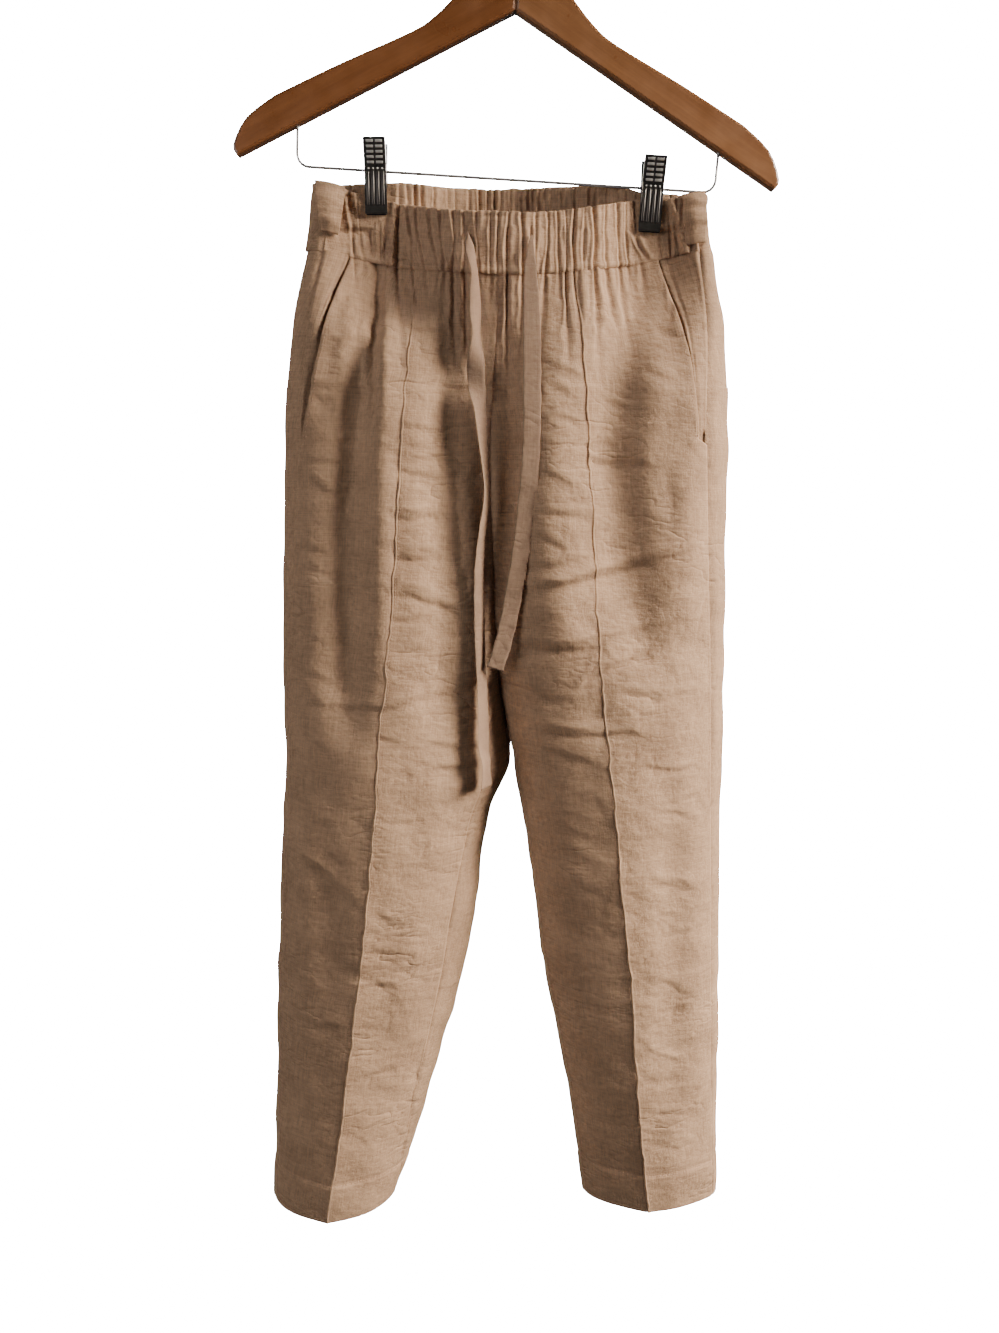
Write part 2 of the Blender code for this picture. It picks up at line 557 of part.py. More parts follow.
# ---------------------------------------------------------------- waistband
def band_line(front, columns):
    """(side, turn) of the band's columns, evenly spaced across, from left seam to right seam."""
    places = []
    for side in (-1, 1):
        row = section(side, WAIST_SEAM)
        crease_x = row["crease"] if front else 0.5 * (row["outer"] + row["inner"])
        edge = row["outer"] - side * row["wrap_out"] if front else row["outer"]
        line = []
        for share in share_row(0.0, 1.0, columns // 2 + 1):
            x = blend(edge, row["inner"], share)
            if (x - crease_x) * side > 0.0:
                turn = acos(1.0 - (x - row["outer"]) / (crease_x - row["outer"])) * 2.0 / pi
            else:
                turn = 1.0 + (x - crease_x) / (row["inner"] - crease_x)
            line.append((side, turn if front else 4.0 - turn))
        if not front:
            wrap = turn_at(side, WAIST_SEAM, row["wrap_out"])
            line[:1] = [(side, 4.0 + share * wrap) for share in (1.0, 0.55, 0.12)]
            line[-1] = (side, 2.0 + JUST_BEHIND)
        places.append(line)
    left, right = places
    return left + right[::-1][1:]


def make_band(name, front, columns):
    places = band_line(front, columns)
    heights = share_row(WAIST_TOP, WAIST_SEAM, BAND_ROWS)
    outer, inner = [], []
    for height in heights:
        points = [surface(side, turn, height) for side, turn in places]
        normals = [outward(side, turn, height) for side, turn in places]
        points[0] += HALF_SEAM * (points[1] - points[0]).normalized()
        points[-1] += HALF_SEAM * (points[-2] - points[-1]).normalized()
        outer.append(points)
        inner.append([point - normal * BAND_WALL for point, normal in zip(points, normals)])
    drop_edge((outer, inner), -1, HALF_SEAM)
    return close_wall(name, outer, inner, LINEN_DARK)


# ---------------------------------------------------------------- pieces laid on the panels
def make_facing(side, name):
    """Side piece behind a pocket mouth: flush with the back panel at the side seam, and tucked
    behind the front panel past the mouth and at its foot."""
    heights = [height for height in ROW_HEIGHTS if height > POCKET_FOOT - 0.010]
    outer, inner = [], []
    for height in heights:
        mouth = pocket_distance(side, height)
        seam = section(side, height)["wrap_out"]
        low = smooth((FACING_TUCK - height) / (FACING_TUCK - POCKET_FOOT))
        points, backs = [], []
        for share in FACING_COLUMNS:
            turn = turn_at(side, height, blend(seam, mouth + FACING_UNDER, share))
            under = max(smooth(share / FACING_DIVE), low)
            normal = outward(side, turn, height)
            point = surface(side, turn, height) - normal * under * FACING_DEEP
            points.append(point)
            backs.append(point - normal * TRIM_WALL)
        shift = HALF_SEAM * (points[1] - points[0]).normalized()
        points[0] += shift
        backs[0] += shift
        outer.append(points)
        inner.append(backs)
    drop_edge((outer, inner), 0, -HALF_SEAM)
    return close_wall(name, outer, inner, LINEN_DARK)


def make_loop(side, name, near, far, foot):
    """Belt loop over a side seam of the band, from its top edge down, standing off in the middle."""
    outer, inner = [], []
    for share in share_row(0.0, 1.0, LOOP_ROWS):
        height = blend(LOOP_TOP, foot, share)
        lift = LOOP_GAP + LOOP_BOW * sin(pi * share)
        points, backs = [], []
        for across in share_row(near, far, 5):
            turn = turn_at(side, height, across)
            normal = outward(side, turn, height)
            base = surface(side, turn, height)
            points.append(base + normal * (lift + TRIM_WALL))
            backs.append(base + normal * lift)
        outer.append(points)
        inner.append(backs)
    return close_wall(name, outer, inner, LINEN)


def smooth_route(rows, steps):
    """Points of a smooth curve through a route's rows, with every column carried along."""
    route = []
    for i in range(len(rows) - 1):
        before, start = rows[max(i - 1, 0)], rows[i]
        end, after = rows[i + 1], rows[min(i + 2, len(rows) - 1)]
        for step in range(steps):
            s = step / steps
            route.append([0.5 * (2 * b + (c - a) * s + (2 * a - 5 * b + 4 * c - d) * s**2
                                 + (3 * b - a - 3 * c + d) * s**3)
                          for a, b, c, d in zip(before, start, end, after)])
    return route + [list(rows[-1])]


def make_tie(name, rows):
    """One free end of the drawstring: a flat tape, turned about its own line as it hangs."""
    route = smooth_route(rows, 2)
    centres = [Vector(row[:3]) for row in route]
    mesh = bmesh.new()
    rings = []
    for i, row in enumerate(route):
        along = (centres[min(i + 1, len(route) - 1)] - centres[max(i - 1, 0)]).normalized()
        wide = Vector((cos(radians(row[3])), sin(radians(row[3])), 0.0))
        wide = (wide - along * wide.dot(along)).normalized()
        thick = along.cross(wide)
        half = row[4]
        rings.append([mesh.verts.new(centres[i] + wide * w * half + thick * t * TIE_THICK / 2.0)
                      for w, t in ((-1, -1), (1, -1), (1, 1), (-1, 1))])
    for ring, following in zip(rings, rings[1:]):
        for k in range(4):
            m = (k + 1) % 4
            mesh.faces.new((ring[k], ring[m], following[m], following[k]))
    mesh.faces.new(rings[0])
    mesh.faces.new(rings[-1])
    bmesh.ops.recalc_face_normals(mesh, faces=mesh.faces)
    return finish_mesh(name, mesh, LINEN)


# ---------------------------------------------------------------- hanger
def empty(name, place, angle, parent=None):
    """A guide that its pieces are parented to, turned about the front-to-back axis."""
    guide = bpy.data.objects.new(name, None)
    guide.location = place
    guide.rotation_euler = (0.0, angle, 0.0)
    guide.parent = parent
    PART.objects.link(guide)
    return guide


def wire_piece(name, points, radius, parent):
    """Bent wire: a poly spline with a round section and filled caps."""
    curve = bpy.data.curves.new(name, "CURVE")
    curve.dimensions = "3D"
    curve.bevel_depth = radius
    curve.bevel_resolution = 2
    curve.use_fill_caps = True
    spline = curve.splines.new("POLY")
    spline.points.add(len(points) - 1)
    for point, place in zip(spline.points, points):
        point.co = (*place, 1.0)
    return dress(bpy.data.objects.new(name, curve), STEEL, 0.3, 1.0, parent)


def arc(centre_x, centre_z, radius, start, end, steps):
    """Points of an arc in the hanger's plane, angles in degrees from +X towards +Z."""
    return [(centre_x + radius * cos(radians(blend(start, end, i / steps))), 0.0,
             centre_z + radius * sin(radians(blend(start, end, i / steps))))
            for i in range(steps + 1)]


def make_hook(parent):
    """Round hook, open to the left, whose shank comes back to the middle and into the wood. Its
    bow is set over by the swing, so that the inside crown stays on the origin."""
    bow = arc(HOOK_INSIDE * sin(TILT), -HOOK_INSIDE, HOOK_INSIDE + HOOK_WIRE, 205.0, -50.0, 20)
    neck = smooth_route([bow[-1], *HOOK_NECK], 3)[1:]
    return wire_piece("hanger_hook", bow + neck + [(0.0, 0.0, HOOK_FOOT)], HOOK_WIRE, parent)


def make_bar(parent):
    """Bar of bent wire that the clips slide on, its two uprights let into the arms."""
    right = arc(BAR_REACH - BAR_BEND, -BAR_BELOW + BAR_BEND, BAR_BEND, 0.0, -90.0, 5)
    left = [(-x, y, z) for x, y, z in right]
    points = [(-BAR_REACH, 0.0, BAR_TOP)] + left + right[::-1] + [(BAR_REACH, 0.0, BAR_TOP)]
    return wire_piece("hanger_bar", points, BAR_WIRE, parent)


def make_cutter(name, x, top, bottom, radius, parent):
    """Drill for a hole in the arms, left out of the part."""
    mesh = bmesh.new()
    bmesh.ops.create_cone(mesh, cap_ends=True, segments=12, radius1=radius, radius2=radius,
                          depth=top - bottom)
    data = bpy.data.meshes.new(name)
    mesh.to_mesh(data)
    mesh.free()
    cutter = bpy.data.objects.new(name, data)
    cutter.location = (x, 0.0, 0.5 * (top + bottom))
    cutter.parent = parent
    cutter.display_type = "WIRE"
    cutter.hide_render = True
    CUTTERS.objects.link(cutter)
    return cutter


def make_arm(name, side, parent, cutters):
    """One wooden arm: a flat outline with rounded edges, drilled for the hook and the bar."""
    curve = bpy.data.curves.new(name, "CURVE")
    curve.dimensions = "2D"
    curve.fill_mode = "BOTH"
    curve.extrude = WOOD_THICK / 2.0 - WOOD_ROUND
    curve.bevel_depth = WOOD_ROUND
    curve.bevel_resolution = 1
    curve.offset = -WOOD_ROUND
    outline = smooth_route(ARM_TOP, 3) + smooth_route(ARM_END, 3)[1:] + [list(ARM_UNDER)]
    spline = curve.splines.new("POLY")
    spline.points.add(len(outline) - 1)
    spline.use_cyclic_u = True
    for point, (x, z) in zip(spline.points, outline):
        point.co = (side * x, z, 0.0, 1.0)
    bent = bpy.data.objects.new(name, curve)
    bent.rotation_euler.x = pi / 2.0
    bent.parent = parent
    PART.objects.link(bent)
    bpy.context.view_layer.update()
    place = bent.matrix_world.copy()
    seen = bent.evaluated_get(bpy.context.evaluated_depsgraph_get())
    mesh = bmesh.new()
    mesh.from_mesh(bpy.data.meshes.new_from_object(seen))
    bmesh.ops.remove_doubles(mesh, verts=mesh.verts, dist=WELD)
    bmesh.ops.recalc_face_normals(mesh, faces=mesh.faces)
    bpy.data.objects.remove(bent)
    arm = finish_mesh(name, mesh, WOOD, 0.35, 0.0)
    arm.matrix_world = place
    for cutter in cutters:
        drill = arm.modifiers.new(cutter.name, "BOOLEAN")
        drill.operation = "DIFFERENCE"
        drill.object = cutter
    return arm


def extruded(name, profile, half_wide, colour, roughness, metallic, parent):
    """A side profile (front-to-back, height) made as wide as the piece."""
    mesh = bmesh.new()
    face = mesh.faces.new([mesh.verts.new((-half_wide, y, z)) for y, z in profile])
    grown = bmesh.ops.extrude_face_region(mesh, geom=[face])
    moved = [item for item in grown["geom"] if isinstance(item, bmesh.types.BMVert)]
    bmesh.ops.translate(mesh, verts=moved, vec=(2.0 * half_wide, 0.0, 0.0))
    bmesh.ops.recalc_face_normals(mesh, faces=mesh.faces)
    return finish_mesh(name, mesh, colour, roughness, metallic, parent)


def make_clip(word, along, angle, hanger):
    """Sprung clip on the bar: two sheet jaws, their rubber pads, and the coil they turn about."""
    clip = empty(f"clip_{word}", (along, 0.0, -BAR_BELOW), angle, hanger)
    for way, place in ((-1, "front"), (1, "back")):
        jaw = [(way * y, z) for y, z in JAW_PROFILE]
        extruded(f"clip_{word}_{place}", jaw, JAW_HALF, STEEL, 0.35, 1.0, clip)
        pad = [(way * y, z) for y, z in PAD_PROFILE]
        extruded(f"clip_{word}_{place}_pad", pad, PAD_HALF, RUBBER, 0.9, 0.0, clip)
    coil = bmesh.new()
    for radius in (COIL_OUTER, COIL_INNER):
        bmesh.ops.create_circle(coil, segments=16, radius=radius)
    bmesh.ops.bridge_loops(coil, edges=coil.edges)
    grown = bmesh.ops.extrude_face_region(coil, geom=list(coil.faces))
    moved = [item for item in grown["geom"] if isinstance(item, bmesh.types.BMVert)]
    bmesh.ops.translate(coil, verts=moved, vec=(0.0, 0.0, 2.0 * COIL_HALF))
    bmesh.ops.translate(coil, verts=coil.verts, vec=(0.0, 0.0, -COIL_HALF))
    bmesh.ops.rotate(coil, verts=coil.verts, cent=(0, 0, 0), matrix=Matrix.Rotation(pi / 2.0, 3, "Y"))
    bmesh.ops.recalc_face_normals(coil, faces=coil.faces)
    ring = finish_mesh(f"clip_{word}_coil", coil, STEEL, 0.3, 1.0, hanger)
    ring.location = (along, 0.0, -BAR_BELOW)


# ---------------------------------------------------------------- putting it together
PART = bpy.data.collections.new("linen_drawstring_trousers")
CUTTERS = bpy.data.collections.new("cutters")
for old in list(bpy.data.objects):
    bpy.data.objects.remove(old, do_unlink=True)
for collection in (PART, CUTTERS):
    bpy.context.scene.collection.children.link(collection)

for half, word in ((-1, "left"), (1, "right")):
    make_front(half, f"front_{word}")
    make_back(half, f"back_{word}")
    make_facing(half, f"pocket_facing_{word}")
make_band("waistband_front", True, BAND_COLUMNS_FRONT)
make_band("waistband_back", False, BAND_COLUMNS_BACK)
make_loop(-1, "belt_loop_left", *LOOP_LEFT)
make_loop(1, "belt_loop_right", *LOOP_RIGHT)
make_tie("drawstring_left", TIE_LEFT)
make_tie("drawstring_right", TIE_RIGHT)

hanger_guide = empty("hanger", (0.0, 0.0, 0.0), TILT)
drills = [make_cutter("hook_hole", 0.0, 0.0, HOOK_FOOT - 0.001, HOOK_WIRE + HOLE_GAP, hanger_guide)]
for end in (-1, 1):
    hole = make_cutter(f"bar_hole_{end}", end * BAR_REACH, BAR_TOP + 0.001, -BAR_BELOW,
                       BAR_WIRE + HOLE_GAP, hanger_guide)
    make_arm("hanger_arm_left" if end < 0 else "hanger_arm_right", end, hanger_guide,
             [drills[0], hole])
make_hook(hanger_guide)
make_bar(hanger_guide)
make_clip("left", CLIP_LEFT_AT, -TILT, hanger_guide)
make_clip("right", CLIP_RIGHT_AT, 0.0, hanger_guide)
bpy.context.view_layer.update()
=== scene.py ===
import json
from math import atan, cos, hypot, pi, radians, sin

import bmesh
import bpy
import numpy as np
from mathutils import Matrix, Vector

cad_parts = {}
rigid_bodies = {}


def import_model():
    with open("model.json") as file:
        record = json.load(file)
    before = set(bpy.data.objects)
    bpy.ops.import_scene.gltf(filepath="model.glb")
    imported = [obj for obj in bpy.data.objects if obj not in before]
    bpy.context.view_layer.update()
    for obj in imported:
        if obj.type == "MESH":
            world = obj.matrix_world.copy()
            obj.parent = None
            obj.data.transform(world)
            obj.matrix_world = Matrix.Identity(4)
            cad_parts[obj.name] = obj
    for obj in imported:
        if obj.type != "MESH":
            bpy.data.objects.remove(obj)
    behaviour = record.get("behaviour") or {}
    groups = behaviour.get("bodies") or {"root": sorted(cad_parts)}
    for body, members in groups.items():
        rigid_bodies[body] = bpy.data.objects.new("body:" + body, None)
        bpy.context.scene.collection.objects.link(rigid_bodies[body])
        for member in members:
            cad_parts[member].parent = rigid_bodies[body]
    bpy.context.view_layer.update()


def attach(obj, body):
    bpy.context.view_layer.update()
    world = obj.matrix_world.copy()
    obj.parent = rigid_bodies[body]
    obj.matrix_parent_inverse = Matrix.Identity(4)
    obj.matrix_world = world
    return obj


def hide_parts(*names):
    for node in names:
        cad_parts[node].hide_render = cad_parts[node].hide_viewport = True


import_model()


# ---------------------------------------------------------------- camera
# Straight in front of the trousers a little above their middle, tipped down. The hook and the top
# of the arms lie above the frame.
PICTURE = (999, 1333)
FOCAL_PIXELS = 1026.0
CAMERA_AT = (-0.019, -0.883, -0.430)
CAMERA_PITCH = radians(12.6)

lens = bpy.data.cameras.new("camera")
lens.sensor_fit = "HORIZONTAL"
lens.sensor_width = 36.0
lens.lens = 36.0 * FOCAL_PIXELS / PICTURE[0]
lens.clip_start = 0.02
camera = bpy.data.objects.new("camera", lens)
camera.location = CAMERA_AT
camera.rotation_euler = (pi / 2.0 - CAMERA_PITCH, 0.0, 0.0)
bpy.context.collection.objects.link(camera)
bpy.context.scene.camera = camera


# ---------------------------------------------------------------- drawstring
# Woven linen tape, 14 mm wide, that runs inside the waistband. Its two free ends come out of
# buttonholes at the front, turn as they hang, and are folded under and stitched off.
TAPE_THICK = 0.0012
# One row for each place, in millimetres and degrees: X, Y and Z, how far the tape has turned from
# flat on, and its half width.
TAPE_LEFT = (
    (-44, -29, -274, 0, 0.5),
    (-43.2, -32.2, -279, 10, 2.2),
    (-42, -35, -285, 25, 4),
    (-39.2, -37.8, -296, 58, 5.8),
    (-37.2, -39.5, -306, 66, 6.6),
    (-37, -40.5, -329, 50, 7),
    (-36.6, -42.5, -355, 60, 7),
    (-37.8, -42.8, -379, -12, 7),
    (-35.5, -43.5, -406, 45, 7),
    (-33.3, -44, -433, 58, 7),
    (-31.4, -44.2, -454, 68, 7),
    (-30.2, -44.4, -476, 72, 7),
    (-33, -45, -505, 66, 7),
    (-35, -45.5, -538, 57, 7),
    (-34.5, -45.5, -588, 52, 7),
    (-33.5, -45.5, -640, 54, 7),
    (-33.5, -45.5, -686, 50, 7),
    (-31.8, -46, -701, 62, 7),
    (-31.2, -45.5, -724, 50, 7),
)
TAPE_RIGHT = (
    (6, -29, -276.5, 4, 0.5),
    (5.6, -32.5, -283, 3, 2),
    (5.2, -35.5, -293, 3, 3.6),
    (5, -38.5, -306, 3, 5),
    (5.8, -42.5, -330, 3, 6.4),
    (6.4, -46, -358, 3, 7),
    (6.6, -49, -386, 3, 7),
    (6.7, -51, -412, 3, 7),
    (6.1, -51.7, -440, 4, 7),
    (4.7, -51.7, -463.5, 4, 7),
    (3, -49.6, -477, 3, 7),
    (0.9, -49.3, -499.5, 4, 7),
    (-2.2, -49, -523, 4, 7),
    (-6.6, -48.6, -550, 4, 7),
    (-11.2, -48.2, -576, 5, 7),
    (-17.2, -47.8, -601, 5, 7),
    (-22.9, -47.5, -619, 5, 7),
)


class Thread:
    """One output of a shader node. Arithmetic on it adds Math nodes to the same material."""

    def __init__(self, tree, socket):
        self.tree = tree
        self.socket = socket

    def node(self, kind, settings=None, sockets=None, out=0):
        """Any other node: its settings first, then the values or links of its sockets."""
        made = self.tree.nodes.new(kind)
        for name, value in (settings or {}).items():
            setattr(made, name, value)
        for name, value in (sockets or {}).items():
            if isinstance(value, Thread):
                self.tree.links.new(value.socket, made.inputs[name])
            else:
                made.inputs[name].default_value = value
        return Thread(self.tree, made.outputs[out])

    def math(self, operation, *values, clamp=False):
        return self.node("ShaderNodeMath", {"operation": operation, "use_clamp": clamp},
                         dict(enumerate(values)))

    def __add__(self, other):
        return self.math("ADD", self, other)

    def __sub__(self, other):
        return self.math("SUBTRACT", self, other)

    def __mul__(self, other):
        return self.math("MULTIPLY", self, other)

    def __pow__(self, other):
        return self.math("POWER", self, other)

    def __radd__(self, other):
        return self.math("ADD", other, self)

    def __rsub__(self, other):
        return self.math("SUBTRACT", other, self)

    def __rmul__(self, other):
        return self.math("MULTIPLY", other, self)

    def sine(self):
        return self.math("SINE", self)

    def clamp(self):
        return self.math("ADD", self, 0.0, clamp=True)

    def part(self, index):
        """One component of a vector."""
        return self.node("ShaderNodeSeparateXYZ", None, {0: self}, index)

    def scaled(self, x, y, z):
        return self.node("ShaderNodeVectorMath", {"operation": "MULTIPLY"}, {0: self, 1: (x, y, z)})

    def noise(self, scale, detail=2.0, roughness=0.5):
        return self.node("ShaderNodeTexNoise", None,
                         {"Vector": self, "Scale": scale, "Detail": detail, "Roughness": roughness})

    def tint(self, dark, light):
        """A colour between two, by this value."""
        return self.node("ShaderNodeMix", {"data_type": "RGBA"},
                         {0: self, 6: (*dark, 1.0), 7: (*light, 1.0)}, 2)

    def bump(self, distance, strength=1.0, normal=None):
        sockets = {"Height": self, "Distance": distance, "Strength": strength}
        if normal is not None:
            sockets["Normal"] = normal
        return self.node("ShaderNodeBump", None, sockets)


def start_material(name, roughness, metallic=0.0):
    """A Principled material, with its object coordinates and its shader."""
    material = bpy.data.materials.new(name)
    material.use_nodes = True
    tree = material.node_tree
    shader = tree.nodes["Principled BSDF"]
    shader.inputs["Roughness"].default_value = roughness
    shader.inputs["Metallic"].default_value = metallic
    places = tree.nodes.new("ShaderNodeTexCoord")
    return material, Thread(tree, places.outputs["Object"]), shader


def link(thread, shader, name):
    """Feed a value or colour to one of a shader's sockets."""
    thread.tree.links.new(thread.socket, shader.inputs[name])


THREAD_PITCH = 0.00085
THREAD_WANDER = 0.0011
SLUB_FINE = 1150.0          # slubs to a metre across the thread
SLUB_DEEP, CRUMPLE_DEEP = 0.00016, 0.0020


def linen(name, dark, light, slub=1.0, crumple=1.0):
    """Plain-weave linen: warp and weft in the piece's own UV map, which is its cut in metres.

    slub is how much its uneven threads show, and crumple how deep its finest creases are.
    """
    material, place, shader = start_material(name, 0.86)
    cut = place.node("ShaderNodeTexCoord", out="UV")
    shader.inputs["Sheen Weight"].default_value = 0.07
    shader.inputs["Sheen Roughness"].default_value = 0.45
    shader.inputs["Sheen Tint"].default_value = (0.9, 0.68, 0.5, 1.0)
    shader.inputs["Specular IOR Level"].default_value = 0.25
    wander = cut.noise(90.0, 2.0) - 0.5
    across = cut.part(0) + wander * THREAD_WANDER
    up = cut.part(1) + wander * THREAD_WANDER
    turn = 2.0 * pi / THREAD_PITCH
    weave = (across * turn).sine() * (up * turn).sine()
    warp_slub = cut.scaled(SLUB_FINE, 38.0, 1.0).noise(1.0, 2.0, 0.6)
    weft_slub = cut.scaled(34.0, SLUB_FINE, 1.0).noise(1.0, 2.0, 0.6)
    streaks = (warp_slub - 0.5) * 1.0 + (weft_slub - 0.5) * 0.8
    blotch = place.noise(22.0, 3.0, 0.55) - 0.5
    fleck = place.noise(300.0, 2.0, 0.6) - 0.5
    tone = (0.5 + streaks * (0.95 * slub) + blotch * 0.75 + fleck * 0.5 + weave * 0.05).clamp()
    link(tone.tint(dark, light), shader, "Base Color")
    link((0.84 + blotch * 0.16).clamp(), shader, "Roughness")
    crinkle = place.scaled(1.0, 1.0, 1.6).noise(75.0, 4.0, 0.58)
    net = place.scaled(1.0, 1.0, 2.2).noise(30.0, 2.0, 0.5) - 0.5
    wrinkles = (1.0 - net.math("ABSOLUTE", net) * 9.0).clamp() ** 2.0
    patches = ((place.noise(14.0, 1.0, 0.5) - 0.45) * 5.0).clamp()
    soft = (crinkle * 1.1 - wrinkles * patches * 0.5).bump(CRUMPLE_DEEP * crumple, 0.75)
    link((weave * 0.35 + streaks * 1.2 + fleck * 0.6).bump(SLUB_DEEP, 0.8, soft), shader, "Normal")
    return material


LINEN_DARK = (0.235, 0.142, 0.086)
LINEN_LIGHT = (0.480, 0.305, 0.190)
tape_linen = linen("tape_linen", (0.180, 0.110, 0.070), (0.300, 0.194, 0.130), 0.8, 0.6)


def smooth_route(rows, steps):
    """Points of a smooth curve through a route's rows, with every column carried along."""
    route = []
    for i in range(len(rows) - 1):
        before, start = rows[max(i - 1, 0)], rows[i]
        end, after = rows[i + 1], rows[min(i + 2, len(rows) - 1)]
        for step in range(steps):
            s = step / steps
            route.append([0.5 * (2 * b + (c - a) * s + (2 * a - 5 * b + 4 * c - d) * s**2
                                 + (3 * b - a - 3 * c + d) * s**3)
                          for a, b, c, d in zip(before, start, end, after)])
    return route + [list(rows[-1])]


def add_piece(name, data, material):
    """Link a finished mesh as a piece of one material."""
    data.materials.append(material)
    piece = bpy.data.objects.new(name, data)
    bpy.context.collection.objects.link(piece)
    return piece


def grid_piece(name, points, cut, material, outward=None):
    """A sheet from a grid of places, with its cut in metres as its UV map.

    outward is a place that the sheet's face turns away from.
    """
    tall, wide = points.shape[:2]
    sheet = bmesh.new()
    bmesh.ops.create_grid(sheet, x_segments=wide - 1, y_segments=tall - 1, size=1.0)
    data = bpy.data.meshes.new(name)
    sheet.to_mesh(data)
    sheet.free()
    data.vertices.foreach_set("co", points.reshape(-1).astype(np.float32))
    corners = np.zeros(len(data.loops), dtype=np.int32)
    data.loops.foreach_get("vertex_index", corners)
    layer = data.uv_layers.new(name="cut")
    layer.data.foreach_set("uv", cut.reshape(-1, 2)[corners].reshape(-1).astype(np.float32))
    data.update()
    if outward is not None:
        middle = data.polygons[len(data.polygons) // 2]
        if (middle.center - Vector(outward)).dot(middle.normal) < 0.0:
            data.flip_normals()
    data.shade_smooth()
    return add_piece(name, data, material)


TAPE_SECTION, TAPE_STEPS = 12, 7            # points round the tape, and places for each row
EDGE_WAVER, EDGE_TURN = 0.03, 310.0         # how far its edges waver, and radians for each metre
CURL_TURN, CURL_FROM = 24.0, 0.6            # radians for each metre of a curl that changes sides


def make_tape(name, rows, node, cup):
    """A flat tape swept along its route, with soft edges and closed ends.

    cup is how far its edges curl: all to one side, or to and fro where it is below nothing.
    """
    rows = [(*(along / 1000.0 for along in place), turn, half / 1000.0)
            for *place, turn, half in rows]
    route = smooth_route(rows, TAPE_STEPS)
    centres = [Vector(row[:3]) for row in route]
    points = np.zeros((len(route), TAPE_SECTION + 1, 3))
    cut = np.zeros((len(route), TAPE_SECTION + 1, 2))
    fallen = 0.0
    for i, row in enumerate(route):
        along = (centres[min(i + 1, len(route) - 1)] - centres[max(i - 1, 0)]).normalized()
        wide = Vector((cos(radians(row[3])), sin(radians(row[3])), 0.0))
        wide = (wide - along * wide.dot(along)).normalized()
        thick = along.cross(wide)
        if i:
            fallen += (centres[i] - centres[i - 1]).length
        half = row[4] * (1.0 + EDGE_WAVER * sin(fallen * EDGE_TURN))
        curl = cup if cup > 0.0 else cup * sin(fallen * CURL_TURN + CURL_FROM)
        for k in range(TAPE_SECTION + 1):
            turn = 2.0 * pi * k / TAPE_SECTION
            flat = cos(turn)
            reach = half * abs(flat) ** 0.6 * (1 if flat >= 0 else -1)
            rise = TAPE_THICK * 0.5 * sin(turn) + curl * (reach / row[4]) ** 2
            points[i, k] = centres[i] + wide * reach + thick * rise
            cut[i, k] = (reach, -fallen)
    piece = grid_piece(name, points, cut, tape_linen)
    body = bmesh.new()
    body.from_mesh(piece.data)
    bmesh.ops.remove_doubles(body, verts=body.verts, dist=0.00001)
    bmesh.ops.holes_fill(body, edges=[edge for edge in body.edges if edge.is_boundary])
    bmesh.ops.recalc_face_normals(body, faces=body.faces)
    body.to_mesh(piece.data)
    body.free()
    piece.data.shade_smooth()
    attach(piece, "root")
    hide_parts(node)


make_tape("tape_left", TAPE_LEFT, "drawstring_left", -0.0015)
make_tape("tape_right", TAPE_RIGHT, "drawstring_right", 0.0005)


# ---------------------------------------------------------------- front panels
# Two linen fronts, cut in one from the gathered waist to the hem, with a stitched pintuck down each
# crease. They hang from two clips, so long soft folds fall from those, and the cloth is crumpled
# across the thighs and knees. The tables and formulas are those of the solids.
WAIST_TOP = -0.234
BAND_DEEP = 0.048
WAIST_SEAM = WAIST_TOP - BAND_DEEP
CROTCH = -0.636
HEM = -1.156
FRONT_DIP, SEAM_DIP, BACK_DIP, DIP_END = 0.026, 0.022, -0.0045, -0.440
SIDE_DROP, DROP_FRONT_FROM, DROP_BACK_FROM, DROP_FADE = 0.007, 0.088, 0.066, 0.034
PANEL_WALL = 0.0014
HALF_SEAM = 0.00015
CENTRE_LAP, LAP_END = 0.0011, -0.706        # the centre seams' lap, and where it ends in the fork
CLIP_LEFT_X, CLIP_RIGHT_X = -0.1173, 0.1028
PINCH, PINCH_FLAT, PINCH_FADE, PINCH_LONG = 0.00225, 0.0105, 0.052, 0.110
PINCH_LOW_LEFT, PINCH_LOW_RIGHT = -0.262, -0.276
MIDDLE_FRONT, MIDDLE_BACK, FORK_ROUND, CLEFT_FROM = 0.031, 0.038, 4.0, -0.340
POCKET_FOOT = -0.430
POCKET_LEFT, POCKET_RIGHT = (0.0380, 0.0210), (0.0440, 0.0330)

